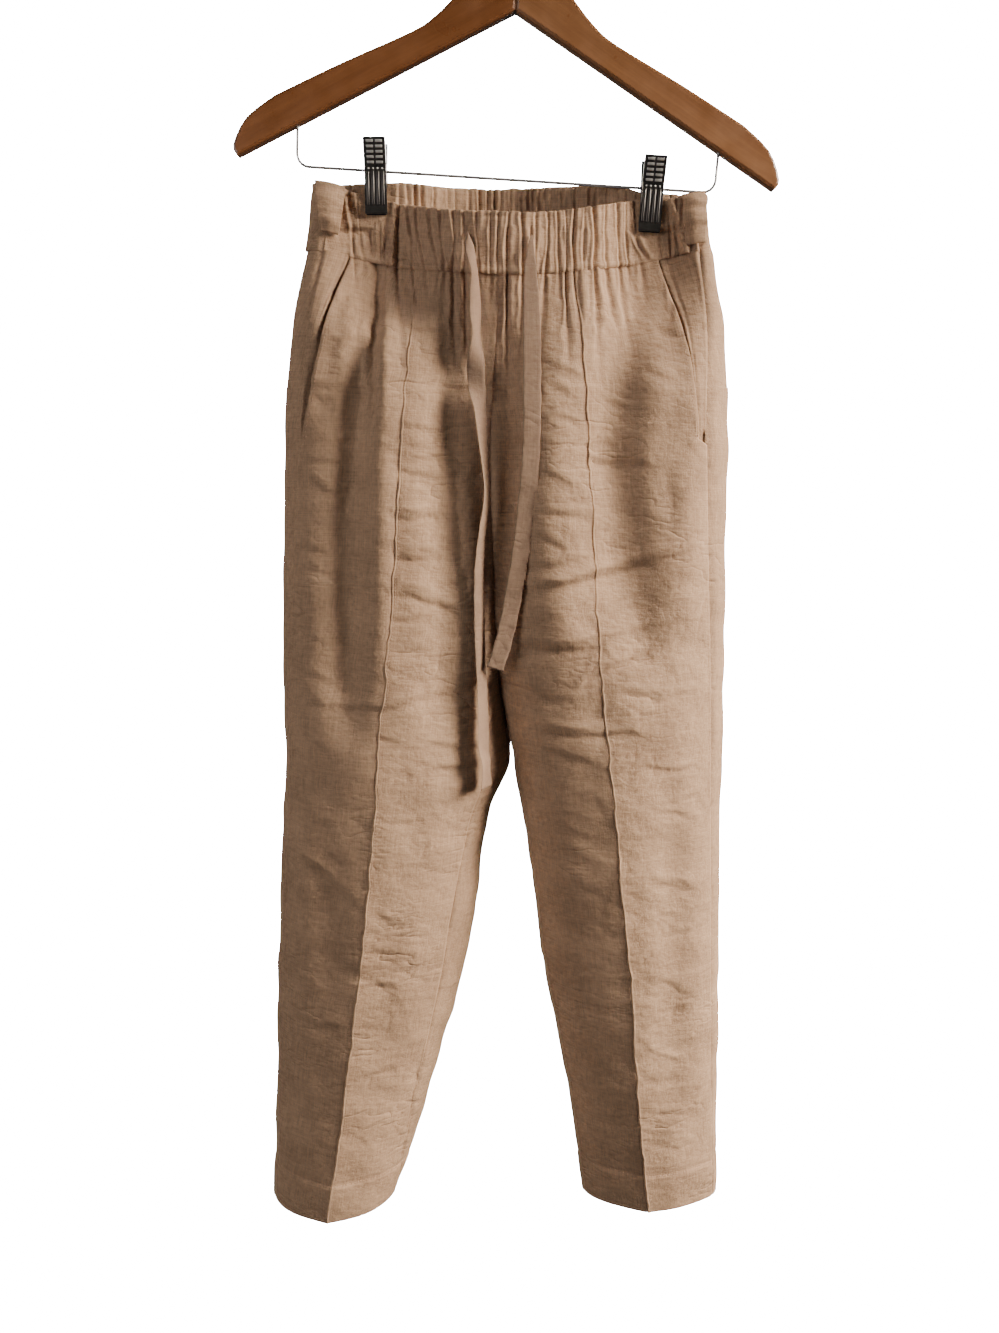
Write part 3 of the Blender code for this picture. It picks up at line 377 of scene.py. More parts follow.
# One row for each height, in millimetres: the places across of the outer edge, crease and inner
# edge, the stand-off of the front and back creases, the inner edge's place front to back, how
# straight the flanks are, in thousandths, and how far the back comes round at side seam and inseam.
COLUMNS = ("height", "outer", "crease", "inner", "front", "back", "inner_y", "sharp",
           "wrap_out", "wrap_in")
LEFT_HALF = (
    (-232, -169, -85, -19, 20, 18, 0, 0, 16, 0),
    (-285, -176.5, -86, -19, 26, 24, 0, 0, 16, 0),
    (-340, -189.5, -88.5, -22, 42, 40, 0, 0, 17, 0),
    (-420, -198.5, -96, -26, 50, 52, 0, 100, 18, 0),
    (-520, -204.5, -103, -26, 53, 56, 0, 180, 13.5, 0),
    (-636, -211, -114, -19.5, 56, 57, 0, 260, 11.5, 0),
    (-680, -211.5, -120, -11.8, 57, 58, 8, 320, 11, 18),
    (-720, -212.5, -122.5, -9.5, 58, 58, 10, 360, 10, 22),
    (-760, -216, -127, -26, 58, 57, 6, 400, 9, 18),
    (-850, -223, -136.5, -41, 58, 56, 0, 460, 6, 21),
    (-900, -226, -143.5, -48, 57, 55, 0, 500, 4, 22),
    (-1000, -232, -157, -74, 53, 52, 0, 560, 2, 16),
    (-1080, -236.5, -169, -96, 50, 49, 0, 600, 1, 10),
    (-1156, -242, -183, -120, 47, 46, 0, 620, 1, 1),
)
RIGHT_HALF = (
    (-232, 146, 40, -19, 20, 18, 0, 0, 10, 0),
    (-285, 153, 41, -19, 26, 24, 0, 0, 11, 0),
    (-340, 165.5, 46, -22, 42, 40, 0, 0, 18, 0),
    (-420, 173, 53, -26, 49, 52, 0, 80, 24, 0),
    (-520, 174.5, 59, -26, 51, 56, 0, 160, 19, 0),
    (-636, 178.5, 66.5, -19.5, 53, 57, 0, 240, 15, 0),
    (-680, 180, 72, -10.5, 54, 58, -4, 300, 14.5, 0),
    (-720, 181, 77, -4.5, 54, 58, -4, 340, 14, 0),
    (-760, 181.5, 81.5, 2, 54, 57, -2, 380, 12.5, 0),
    (-850, 184.5, 91.5, 15.5, 52, 55, 0, 440, 11, 0),
    (-900, 187.5, 97.5, 21, 50, 54, 0, 480, 12, 0),
    (-1000, 191, 106.5, 40, 45, 50, 0, 540, 10, 0),
    (-1080, 194, 115, 52, 39, 46, 0, 580, 8, 0),
    (-1156, 196, 124, 62, 33, 42, 0, 600, 6, 0),
)
# Long folds, in millimetres: X and Z of their top, bend and foot, then half width, rise, and length
# of the fading ends.
FRONT_FOLDS = (
    (-117, -246, -121, -290, -127, -345, 8.5, -11, 20),
    (-124, -310, -141, -420, -149, -700, 19, -18, 90),
    (-60, -300, -68, -460, -72, -720, 16.5, -6.5, 90),
    (-36, -310, -40, -460, -45, -600, 12, 4, 80),
    (-168, -700, -174, -880, -196, -1100, 19, -7, 120),
    (103, -258, 98, -290, 92, -335, 9.5, -10, 20),
    (81, -288, 76, -440, 106, -640, 20.5, -14, 65),
    (20, -320, 24, -470, 40, -660, 20, 9, 90),
    (136, -360, 137, -470, 142, -620, 15, 5, 80),
    (116, -640, 132, -820, 147, -1080, 17, -6, 110),
)
BACK_FOLDS = (
    (-117, -250, -122, -300, -130, -380, 10, -10, 30),
    (-128, -320, -150, -470, -160, -760, 20, -17, 100),
    (-62, -310, -66, -450, -60, -620, 17, -9, 90),
    (103, -258, 106, -310, 112, -390, 10, -10, 30),
    (108, -320, 126, -480, 130, -760, 20, -16, 100),
    (40, -310, 36, -450, 28, -620, 17, -8, 90),
    (-150, -740, -160, -900, -172, -1080, 18, -6, 120),
    (110, -740, 120, -900, 128, -1080, 18, -6, 120),
)

# How much of the straightness of the flanks the worn cloth keeps, and how much fuller it hangs.
CRISP, FULL = 0.42, 0.18
FOLD_SHARE = 0.66
# Softer folds between those, in the same columns.
SOFT_FRONT = (
    (-54, -285, -56, -420, -64, -680, 13, -2, 60),
    (8, -290, 12, -440, 14, -620, 18, 4, 70),
    (60, -300, 66, -440, 80, -620, 18, -5, 80),
    (108, -300, 110, -440, 124, -640, 17, -1, 90),
    (140, -300, 144, -440, 148, -600, 14, 3, 80),
    (-108, -290, -112, -420, -118, -620, 10, 3, 60),
)
SOFT_BACK = (
    (-30, -300, -32, -440, -30, -600, 16, 5, 70),
    (10, -300, 12, -440, 6, -600, 14, -5, 70),
    (-96, -320, -100, -460, -104, -640, 15, -5, 80),
    (74, -320, 78, -460, 82, -640, 15, -5, 80),
)


def smooth(value):
    """0 below 0, 1 above 1, and an even S between, for numbers and arrays."""
    held = np.clip(value, 0.0, 1.0)
    return held * held * (3.0 - 2.0 * held)


def blend(start, end, share):
    """The value that lies a share of the way from start to end."""
    return start + (end - start) * share


def rib(distance, half):
    """Cross profile of a rib or groove: 1 on its line, and nearly 0 two half widths away."""
    return np.exp(-(distance / half) ** 2)


def section(side, heights):
    """Columns of the left (-1) or right (+1) half's table at an array of heights."""
    table = np.array(LEFT_HALF if side < 0 else RIGHT_HALF) / 1000.0
    held = np.clip(heights, table[-1, 0], table[0, 0])
    place = np.clip(np.searchsorted(-table[:, 0], -held, side="right") - 1, 0, len(table) - 2)
    above, below = table[place], table[place + 1]
    before = table[np.maximum(place - 1, 0)]
    after = table[np.minimum(place + 2, len(table) - 1)]
    span = above[..., :1] - below[..., :1]
    share = (above[..., :1] - held[..., None]) / span
    slope_b = (below - before) / (before[..., :1] - below[..., :1]) * span
    slope_c = (after - above) / (above[..., :1] - after[..., :1]) * span
    values = ((2 * share**3 - 3 * share**2 + 1) * above
              + (share**3 - 2 * share**2 + share) * slope_b
              + (3 * share**2 - 2 * share**3) * below + (share**3 - share**2) * slope_c)
    row = {name: values[..., i] for i, name in enumerate(COLUMNS)}
    lapped = smooth((WAIST_SEAM - heights) / 0.008) * smooth((heights - LAP_END) / 0.012)
    row["inner"] = row["inner"] + side * (HALF_SEAM - CENTRE_LAP * lapped)
    row["sharp"] = row["sharp"] * CRISP - FULL
    return row


def fold_rise(folds, x, height):
    """Sum of the long folds at places on the front or the back."""
    total = np.zeros_like(x)
    for top_x, top, bend_x, bend, foot_x, foot, half_wide, rise, fade in np.array(folds) / 1000.0:
        upper = blend(top_x, bend_x, (top - height) / (top - bend))
        lower = blend(bend_x, foot_x, (bend - height) / (bend - foot))
        line_x = np.where(height > bend, upper, lower)
        ends = smooth((top - height) / fade) * smooth((height - foot) / fade)
        total += rise * ends * rib(x - line_x, half_wide)
    return total


def pinch_share(x, height):
    """1 where a clip presses front and back together, fading out sideways and downwards."""
    share = np.zeros_like(x)
    for clip_x, low in ((CLIP_LEFT_X, PINCH_LOW_LEFT), (CLIP_RIGHT_X, PINCH_LOW_RIGHT)):
        across = 1.0 - smooth((np.abs(x - clip_x) - PINCH_FLAT) / PINCH_FADE)
        down = 1.0 - smooth((low - height) / PINCH_LONG)
        share = np.maximum(share, across * down)
    return share


def dip(x, height, front):
    """How far the cloth sinks between the side seams, most at the band's front edge."""
    left, right = section(-1, height)["outer"], section(1, height)["outer"]
    place = (2.0 * x - left - right) / (right - left)
    level = np.maximum(0.0, 1.0 - place * place) ** 1.5
    up = np.maximum(0.0, (height - WAIST_SEAM) / BAND_DEEP)
    drop = up * SIDE_DROP * smooth((x - (DROP_FRONT_FROM if front else DROP_BACK_FROM)) / DROP_FADE)
    fading = smooth((height - DIP_END) / (WAIST_SEAM - DIP_END))
    if not front:
        return drop + BACK_DIP * level * level * fading
    above = blend(SEAM_DIP, FRONT_DIP, up)
    return drop + level * np.where(height > WAIST_SEAM, above, SEAM_DIP * fading)


def form(side, turn, height):
    """Smooth outer surface of one half, for arrays of one shape: (places, freedom of its edges).

    turn goes once round the half: 0 is its outer edge, 1 the front crease, 2 the inner edge or
    centre seam, 3 the back crease and 4 the outer edge again. Past 4 it comes round to the front.
    """
    row = section(side, height)
    rise = np.maximum(0.0, (height - CROTCH) / (WAIST_SEAM - CROTCH))
    cleft = smooth((CLEFT_FROM - height) / (CLEFT_FROM - CROTCH))
    places = np.zeros(turn.shape + (3,))
    freedom = np.zeros(turn.shape)
    for facing in (True, False):
        inside = (turn <= 2.0) | (turn > 4.0) if facing else (turn > 2.0) & (turn <= 4.0)
        if not inside.any():
            continue
        crease_x = row["crease"] if facing else 0.5 * (row["outer"] + row["inner"])
        depth = row["front"] if facing else row["back"]
        bow = np.sqrt(np.maximum(0.0, 1.0 - np.maximum(0.0, 1.0 - rise) ** FORK_ROUND))
        middle = (MIDDLE_FRONT if facing else MIDDLE_BACK) * bow
        middle = np.where(height > CROTCH, middle, row["inner_y"] * (-1.0 if facing else 1.0))
        flank = np.where(turn > 4.0, turn - 4.0, turn) if facing else 4.0 - turn
        near = np.clip(flank, 0.0, 1.0)
        x_near = row["outer"] + (crease_x - row["outer"]) * (1.0 - np.cos(near * pi / 2.0))
        bowed = np.sin(near * pi / 2.0)
        stand_near = depth * blend(bowed, 1.0 - np.cos(near * pi / 2.0), row["sharp"])
        inward = np.clip(flank - 1.0, 0.0, 1.0)
        across = blend(inward, np.sin(inward * pi / 2.0), cleft)
        fall = blend(0.5 - 0.5 * np.cos(pi * inward), 1.0 - np.cos(inward * pi / 2.0), cleft)
        fall = blend(fall, across, row["sharp"] * cleft)
        x_far = crease_x + (row["inner"] - crease_x) * across
        stand_far = depth + (middle - depth) * fall
        free_far = 1.0 - cleft * (1.0 - np.cos(inward * pi / 2.0))
        x = np.where(flank <= 1.0, x_near, x_far)
        stand = np.where(flank <= 1.0, stand_near, stand_far)
        free = np.where(flank <= 1.0, bowed, free_far)
        folds = FRONT_FOLDS if facing else BACK_FOLDS
        stand = stand + FOLD_SHARE * free * fold_rise(folds, x, height)
        stand = blend(stand, PINCH * np.minimum(1.0, 2.0 * free), pinch_share(x, height))
        y = -stand if facing else stand
        z = height - dip(x, height, facing)
        places[inside] = np.stack([x, y, z], axis=-1)[inside]
        freedom[inside] = free[inside]
    return places, freedom


def turn_at(side, height, distance):
    """turn of the front point that lies a distance in from the outer edge."""
    row = section(side, height)
    share = np.minimum(1.0, distance / np.abs(row["crease"] - row["outer"]))
    return np.arccos(1.0 - share) * 2.0 / pi


def turn_inside(side, height, distance):
    """turn of the front point that lies a distance out from the inner edge."""
    row = section(side, height)
    share = np.minimum(1.0, distance / np.abs(row["inner"] - row["crease"]))
    rest = 1.0 - share
    turned = 1.0 + np.arctan2(rest, np.sqrt(np.maximum(0.0, 1.0 - rest ** 2))) * 2.0 / pi
    return np.where(height > CROTCH, 2.0, turned)


def pocket_distance(side, height):
    """Distance of the pocket mouth from the outer edge, a gentle curve from waist to foot."""
    top, foot = POCKET_LEFT if side < 0 else POCKET_RIGHT
    share = np.clip((WAIST_SEAM - height) / (WAIST_SEAM - POCKET_FOOT), 0.0, 1.0)
    return blend(top, foot, 1.0 - (1.0 - share) ** 1.4)


DRIFT_CELLS = 95


def drift(x, z, cell_x, cell_z, seed):
    """Smooth seeded unevenness from -1 to 1, in cells of the given size."""
    grid = np.random.default_rng(seed).uniform(-1.0, 1.0, (DRIFT_CELLS + 1, DRIFT_CELLS + 1))
    u, v = x / cell_x + 40.0, z / cell_z + 300.0
    i, j = np.floor(u).astype(int), np.floor(v).astype(int)
    s, t = smooth(u - i), smooth(v - j)
    i, j = i % DRIFT_CELLS, j % DRIFT_CELLS
    top = blend(grid[i, j], grid[i + 1, j], s)
    foot = blend(grid[i, j + 1], grid[i + 1, j + 1], s)
    return blend(top, foot, t)


def waves(x, z, layers, seed):
    """Sum of drifts, from rows of depth, cells across and up, and step of the seed."""
    return sum(deep * drift(x, z, cell_x, cell_z, seed + step)
               for deep, cell_x, cell_z, step in layers)


CREASE_STEEP, CREASE_EASY = 0.75, 1.8       # how wide its two flanks are, in half widths
CREASE_DEEP, CREASE_WAVER = 1.05, 0.0010
SWELL, SWELL_AWAY, SWELL_WIDE = 0.5, 2.2, 1.2
WAVER_ACROSS, WAVER_UP = (0.011, 0.009, 5), (0.013, 0.010, 6)       # cells across and up, and seed
SHIN_SHARE, SHIN_TOP, SHIN_FADE = 0.72, -0.70, 0.10         # creases are weaker below the knee


def crease_rise(x, z, creases):
    """Sum of creases, in metres, from a table in millimetres.

    Each has a half width and a rise, below nothing for a trough, and X and Z of the points that it
    runs through. Its steep flank looks down, and the cloth swells a little above a trough.
    """
    total = np.zeros_like(x)
    x = x + CREASE_WAVER * drift(x, z, *WAVER_ACROSS)
    z = z + CREASE_WAVER * drift(x, z, *WAVER_UP)
    for half_wide, rise, *line in creases:
        points = [(px / 1000.0, pz / 1000.0) for px, pz in zip(line[::2], line[1::2])]
        nearest = np.full(x.shape, 1e9)
        along = np.zeros_like(x)
        above = np.zeros_like(x)
        legs = [hypot(bx - ax, bz - az) for (ax, az), (bx, bz) in zip(points, points[1:])]
        gone = 0.0
        for (ax, az), (bx, bz), leg in zip(points, points[1:], legs):
            run_x, run_z = bx - ax, bz - az
            t = np.clip(((x - ax) * run_x + (z - az) * run_z) / leg**2, 0.0, 1.0)
            off_x, off_z = x - ax - t * run_x, z - az - t * run_z
            apart = np.hypot(off_x, off_z)
            closer = apart < nearest
            side = (off_z * run_x - off_x * run_z) * (1.0 if bx >= ax else -1.0)
            nearest = np.where(closer, apart, nearest)
            along = np.where(closer, (gone + t * leg) / sum(legs), along)
            above = np.where(closer, side > 0.0, above)
            gone += leg
        wide = half_wide * 0.001
        steep = (above > 0.5) if rise < 0 else (above < 0.5)
        profile = np.exp(-(nearest / (wide * np.where(steep, CREASE_STEEP, CREASE_EASY))) ** 1.5)
        if rise < 0:
            beside = nearest * np.where(steep, 1.0, -1.0) - SWELL_AWAY * wide
            profile = profile - SWELL * rib(beside, SWELL_WIDE * wide)
        ends = np.sqrt(4.0 * along * (1.0 - along))
        total += CREASE_DEEP * rise * 0.001 * ends * profile
    return total * blend(1.0, SHIN_SHARE, smooth((SHIN_TOP - z) / SHIN_FADE))


# Creases, in millimetres: half width and rise, then X and Z of each point of the line.
CREASES_FRONT_LEFT = (
    (3, -1.3, -102, -456, -91, -460, -69, -463),
    (2, -1.0, -99, -451, -83, -448, -61, -445),
    (3, -1.6, -108, -494, -90, -495, -69, -493),
    (3, -1.7, -107, -525, -90, -530, -68, -525),
    (3, -1.5, -108, -555, -91, -559, -71, -565, -43, -579),
    (2, -1.1, -109, -576, -93, -577, -75, -574),
    (3, 1.2, -101, -484, -87, -486, -70, -483),
    (3, 1.3, -102, -515, -88, -518, -71, -516),
    (4, 1.3, -104, -544, -89, -548, -73, -552),
    (3, -1.2, -184, -650, -149, -653, -114, -652, -77, -643, -40, -641),
    (2, -0.9, -122, -675, -112, -678, -103, -679),
    (2, -1.0, -80, -683, -44, -691, -14, -697),
    (3, -1.3, -94, -719, -73, -707, -37, -708),
    (2, -0.8, -100, -606, -85, -598),
    (3, -0.4, -88, -616, -80, -641),
    (2, -1.0, -186, -447, -164, -449, -144, -451),
    (3, -1.1, -175, -464, -150, -479),
    (3, -1.0, -190, -518, -157, -525),
    (3, -0.9, -176, -537, -156, -544),
    (3, -1.0, -187, -622, -160, -635),
    (2, -0.8, -188, -676, -165, -691),
    (4, -1.6, -200, -792, -175, -803, -154, -823, -135, -833),
    (4, 1.2, -197, -782, -177, -792, -157, -808),
    (3, 1.0, -126, -832, -102, -844),
    (3, -0.8, -126, -839, -103, -850),
    (3, -1.3, -210, -948, -179, -953, -157, -946),
    (3, 0.9, -209, -939, -179, -944, -158, -938),
    (3, -1.2, -146, -998, -129, -1000, -114, -996),
    (3, -0.5, -172, -1052, -143, -1073),
    (2, -0.8, -124, -749, -105, -753, -85, -750),
    (2, -0.8, -119, -1059, -109, -1085),
    (4, -1.6, -55, -456, -52, -503, -46, -561),
    (4, -1.8, -116, -319, -119, -349, -122, -386),
    (3, -1.0, -94, -398, -78, -403),
    (2, -0.8, -95, -421, -74, -426),
    (3, -0.9, -176, -390, -153, -395),
    (3, -0.9, -135, -905, -110, -911),
    (3, -0.9, -132, -871, -109, -877),
    (7, -3.6, -118.1, -278, -121.3, -324, -127, -363, -132.2, -401, -137.8, -440, -143, -490),
    (3, -2.6, -118, -280, -118.8, -310, -119.2, -345, -120, -385, -121.5, -430),
    (6, 1.8, -111.5, -288, -110, -340, -108, -420),
    (2, -1.8, -101, -283, -103.4, -300, -105, -318),
    (3, -1.2, -156, -318, -148, -326, -140, -322),
    (4, 1.2, -156, -350, -144, -354, -133, -350),
    (3, -1.2, -169, -398, -160, -404, -153, -400),
    (2, -0.9, -93, -345, -80, -349, -68, -346),
    (2, -0.9, -153, -436, -140, -432),
)
CREASES_FRONT_RIGHT = (
    (3, -1.3, 29, -453, 48, -449, 77, -450, 105, -453),
    (3, -1.1, 16, -456, 39, -472),
    (3, -1.2, 14, -491, 34, -492, 56, -495),
    (3, -1.1, 12, -508, 34, -520),
    (3, -1.2, -4, -534, 25, -533, 53, -525),
    (4, -2.2, -25, -548, 12, -554, 61, -544, 96, -534, 147, -519),
    (4, 1.5, -2, -541, 31, -543, 63, -535, 96, -525),
    (4, -2.0, -12, -600, 26, -605, 70, -599),
    (5, 1.6, -2, -591, 31, -594, 73, -588, 106, -581, 151, -572),
    (3, -1.8, 49, -638, 57, -627, 70, -619, 90, -612, 108, -606),
    (3, -1.6, 16, -675, 41, -677, 70, -676, 100, -671),
    (3, 1.3, 13, -665, 41, -668, 69, -666),
    (3, -1.1, 14, -690, 37, -695, 60, -702),
    (2, 1.0, 91, -670, 103, -675),
    (5, -0.8, 115, -453, 120, -479, 122, -505),
    (5, -0.6, 24, -483, 30, -503, 32, -525),
    (3, -0.6, 20, -755, 46, -767, 79, -776),
    (4, -0.6, 27, -780, 60, -792, 85, -803),
    (4, -0.7, 27, -812, 66, -819, 89, -837),
    (3, -0.4, 60, -727, 68, -742, 76, -760),
    (3, -1.0, 115, -812, 138, -818, 161, -826),
    (3, 1.0, 114, -805, 137, -809, 160, -817),
    (3, -1.2, 111, -905, 129, -910, 153, -925),
    (4, -1.4, 116, -958, 134, -944, 156, -936),
    (3, 1.2, 104, -956, 124, -978, 156, -996),
    (2, 1.1, 70, -1030, 86, -1051),
    (3, -1.0, 112, -1038, 138, -1049, 168, -1051),
    (3, -1.0, 122, -1078, 151, -1088, 175, -1083),
    (3, -0.9, 119, -866, 150, -862, 169, -856),
    (3, -0.9, 111, -1004, 129, -1014, 152, -1009),
    (2, -0.9, 101, -703, 127, -709, 152, -707),
    (2, -0.8, 111, -744, 145, -751),
    (3, -0.5, 35, -856, 61, -866, 83, -862),
    (3, -0.5, 44, -925, 72, -938),
    (3, -1.0, -2, -637, 22, -646, 45, -647),
    (3, -1.0, 82, -637, 116, -646, 149, -641),
    (2, -0.9, 23, -413, 45, -421),
    (2, -0.9, 63, -401, 84, -409),
    (3, 1.6, 56, -290, 60, -315, 65, -345),
    (2, -1.8, 64, -286, 68, -312, 75, -345),
    (2, -1.6, 43, -288, 44, -315, 47, -340),
    (3, -1.0, 106, -345, 122, -352, 133, -350),
    (3, -1.0, 95, -378, 115, -386, 135, -380),
    (3, 1.2, 18, -370, 33, -376, 48, -382),
    (3, -1.0, 20, -392, 36, -398),
)
# Gathers in front, in millimetres: X at the band's top edge, its middle and the waist seam, X and Z
# of the foot in the panel below, then depth in the band, depth in the panel and half width.
GATHERS_FRONT = (
    (-140, -137.1, -136, -134.5, -318, 0.9, 1.0, 1.6),
    (-133, -131.6, -128.5, -128, -300, 0.8, 0.6, 1.4),
    (-106, -108.9, -108.5, -107, -310, 1.0, 1.0, 1.5),
    (-99, -101.8, -101.8, -94, -350, 2.0, 1.8, 1.7),
    (-92.5, -89.3, -88.5, -80.6, -330, 1.2, 1.1, 1.5),
    (-85, -83.8, -77.5, -73.5, -312, 1.3, 1.2, 1.5),
    (-74.5, -72, -66.5, -70, -310, 1.1, 1.0, 1.4),
    (-66, -64.9, -61.8, -65.5, -325, 1.5, 1.3, 1.5),
    (-56, -53.9, -56.3, -53.1, -372, 1.7, 2.0, 1.7),
    (-47, -46.2, -46.9, -42.2, -395, 1.2, 2.4, 1.6),
    (-37.2, -36, -35.9, -31.2, -350, 1.4, 1.6, 1.6),
    (-26.2, -25.7, -26.5, -26.2, -305, 1.3, 0.9, 1.4),
    (-20, -20.2, -21, -21.5, -318, 1.2, 0.9, 1.3),
    (-11.8, -13.1, -13.1, -12.3, -395, 2.0, 2.8, 1.8),
    (-1.5, -0.6, -0.6, -2.1, -360, 1.5, 1.9, 1.6),
    (9.5, 9.2, 8.5, 7.5, -330, 1.2, 1.4, 1.5),
    (18.5, 19.1, 16.7, 12.8, -345, 1.4, 1.3, 1.5),
    (26.2, 27, 27.7, 29, -306, 1.2, 0.9, 1.3),
    (33, 34, 33.2, 35.5, -360, 1.6, 2.4, 1.6),
    (40.5, 38.7, 39.5, 46.5, -335, 1.8, 1.3, 1.5),
    (48.4, 47.8, 47, 52, -305, 0.9, 0.6, 1.4),
    (55.5, 56.8, 56, 63, -368, 2.0, 2.4, 1.8),
    (65, 64.6, 66.2, 72.5, -312, 1.2, 1.0, 1.4),
    (74.5, 75.6, 77.2, 87.3, -350, 1.4, 1.6, 1.6),
    (81.5, 81.9, 84.2, 87, -300, 1.2, 0.8, 1.4),
    (89, 91.3, 95, 100, -312, 1.4, 1.0, 1.5),
    (115, 118, 119, 119.5, -330, 1.2, 1.4, 1.6),
    (122.7, 122.7, 125.8, 126.6, -345, 1.2, 1.2, 1.6),
    (129.5, 130.5, 134.5, 137.5, -315, 1.1, 0.9, 1.5),
)
CLIP_FLAT, CLIP_FREE = 0.0092, 0.0060       # half width pressed flat, and how soon gathers start
CLIP_BELOW, BELOW_FADE = 0.002, 0.010       # how far below a clip they start, and how soon
BAND_DRAWN, PANEL_DRAWN, PLEAT_LONG = 1.65, 1.2, 1.3
BAND_EVEN, BAND_UNEVEN = 0.62, 0.38
WIDE_EVEN, WIDE_UNEVEN, WIDENING = 0.80, 0.35, 1.5
GATHER_WAVES = ((0.00045, 0.020, 0.012, 0),)
# The ridges on both sides of a trough: height, place and half width, by the trough's half width.
GATHER_RIDGES = ((0.50, -1.7, 0.75), (0.25, 2.1, 1.1))


def gather_rise(x, height, gathers, seed):
    """Gathers and the pleats that they let into the panels: sharp troughs between soft ridges."""
    total = np.zeros_like(x)
    below = np.maximum(0.0, WAIST_SEAM - height)
    waver = waves(x, height, GATHER_WAVES, seed)
    for *line, deep_band, deep_panel, half_wide in gathers:
        top_x, mid_x, seam_x, foot_x, foot = [place / 1000.0 for place in line]
        foot = WAIST_SEAM + PLEAT_LONG * (foot - WAIST_SEAM)
        stops = (foot, WAIST_SEAM, 0.5 * (WAIST_SEAM + WAIST_TOP), WAIST_TOP)
        line_x = np.interp(height, stops, (foot_x, seam_x, mid_x, top_x)) + waver
        share = np.clip(below / (WAIST_SEAM - foot), 0.0, 1.0)
        uneven = drift(0.0 * x + 7.0 * top_x, height, 0.01, 0.014, seed + 3)
        in_panel = PANEL_DRAWN * deep_panel * (1.0 - share) ** 1.2
        in_band = BAND_DRAWN * deep_band * (BAND_EVEN + BAND_UNEVEN * uneven)
        wide = half_wide * 0.001 * (1.0 + WIDENING * share) * (WIDE_EVEN + WIDE_UNEVEN * uneven)
        q = (x - line_x) / wide
        trough = np.exp(-np.abs(q) ** 1.5)
        for high, beside, ridge_wide in GATHER_RIDGES:
            trough -= high * rib(q - beside, ridge_wide)
        total -= 0.001 * np.where(below > 0.0, in_panel, in_band) * trough
    return total * free_of_clips(x, height)


def free_of_clips(x, height):
    """0 where a clip presses the cloth flat, 1 a little beside or below it."""
    free = np.ones_like(x)
    for clip_x, low in ((CLIP_LEFT_X, PINCH_LOW_LEFT), (CLIP_RIGHT_X, PINCH_LOW_RIGHT)):
        beside = smooth((np.abs(x - clip_x) - CLIP_FLAT) / CLIP_FREE)
        beneath = smooth((low - CLIP_BELOW - height) / BELOW_FADE)
        free = np.minimum(free, np.maximum(beside, beneath))
    return free


def unit_normals(points, spot, front=True):
    """Normals of a grid of places, turned so that the one at a spot looks to the front or back."""
    normal = np.cross(np.gradient(points, axis=1), np.gradient(points, axis=0))
    normal = normal / np.maximum(np.linalg.norm(normal, axis=-1, keepdims=True), 1e-9)
    return -normal if (normal[spot][1] > 0.0) == front else normal


def cut_map(points, middle):
    """A sheet's cut: lengths along its rows from a middle column, and down its columns."""
    steps = np.linalg.norm(np.diff(points, axis=1), axis=-1)
    run = np.concatenate([np.zeros((len(points), 1)), np.cumsum(steps, axis=1)], axis=1)
    run = run - run[:, middle:middle + 1]
    falls = np.median(np.linalg.norm(np.diff(points, axis=0), axis=-1), axis=1)
    fall = np.concatenate([[0.0], np.cumsum(falls)])
    return np.stack([run, np.broadcast_to(-fall[:, None], run.shape)], axis=-1)


def turn_under(points, normals, count, stride, thick):
    """Fold a grid's end round and under itself, as at a hem: count rows, each stride rows on."""
    past = points[-1] - points[-2]
    past = past / np.linalg.norm(past, axis=-1, keepdims=True)
    middle = points[-1] - normals[-1] * thick * 0.5
    roll = [middle + (normals[-1] * cos(turn) + past * sin(turn)) * thick * 0.5
            for turn in (0.8, 1.6, 2.4, pi)]
    rows = [-1 - stride * k for k in range(1, count + 1)]
    under = [points[row] - normals[row] * thick for row in rows]
    folded = [normals[-1]] * 4 + [normals[row] for row in rows]
    return (np.concatenate([points, np.array(roll + under)]),
            np.concatenate([normals, np.array(folded)]))


# Three runs of fine creases: how they are turned, their cells across and up, and their depth.
CRUMPLE_RUNS = (
    (0.16, 0.062, 0.021, 0.00065),
    (-0.42, 0.038, 0.014, 0.00055),
    (0.8, 0.034, 0.019, 0.00050),
)
CRUMPLE_BEND, CRUMPLE_PATCHES = ((0.012, 0.075, 0.060, 14),), ((1.4, 0.045, 0.050, 9),)


def crumple_lines(x, z, seed):
    """Fine uneven creases, mostly level, as the thin lines where two smooth drifts change sign."""
    total = np.zeros_like(x)
    bent = waves(x, z, CRUMPLE_BEND, seed)
    for run, (turn, cell_x, cell_z, deep) in enumerate(CRUMPLE_RUNS):
        u, v = x * cos(turn) + z * sin(turn), z * cos(turn) - x * sin(turn) + bent
        level = drift(u, v, cell_x, cell_z, seed + run)
        level = level + 0.5 * drift(u, v, cell_x * 0.45, cell_z * 0.45, seed + run + 5)
        patch = smooth(waves(x, z, CRUMPLE_PATCHES, seed + run))
        total -= deep * np.maximum(0.0, 1.0 - np.abs(level)) ** 6 * patch
    return total


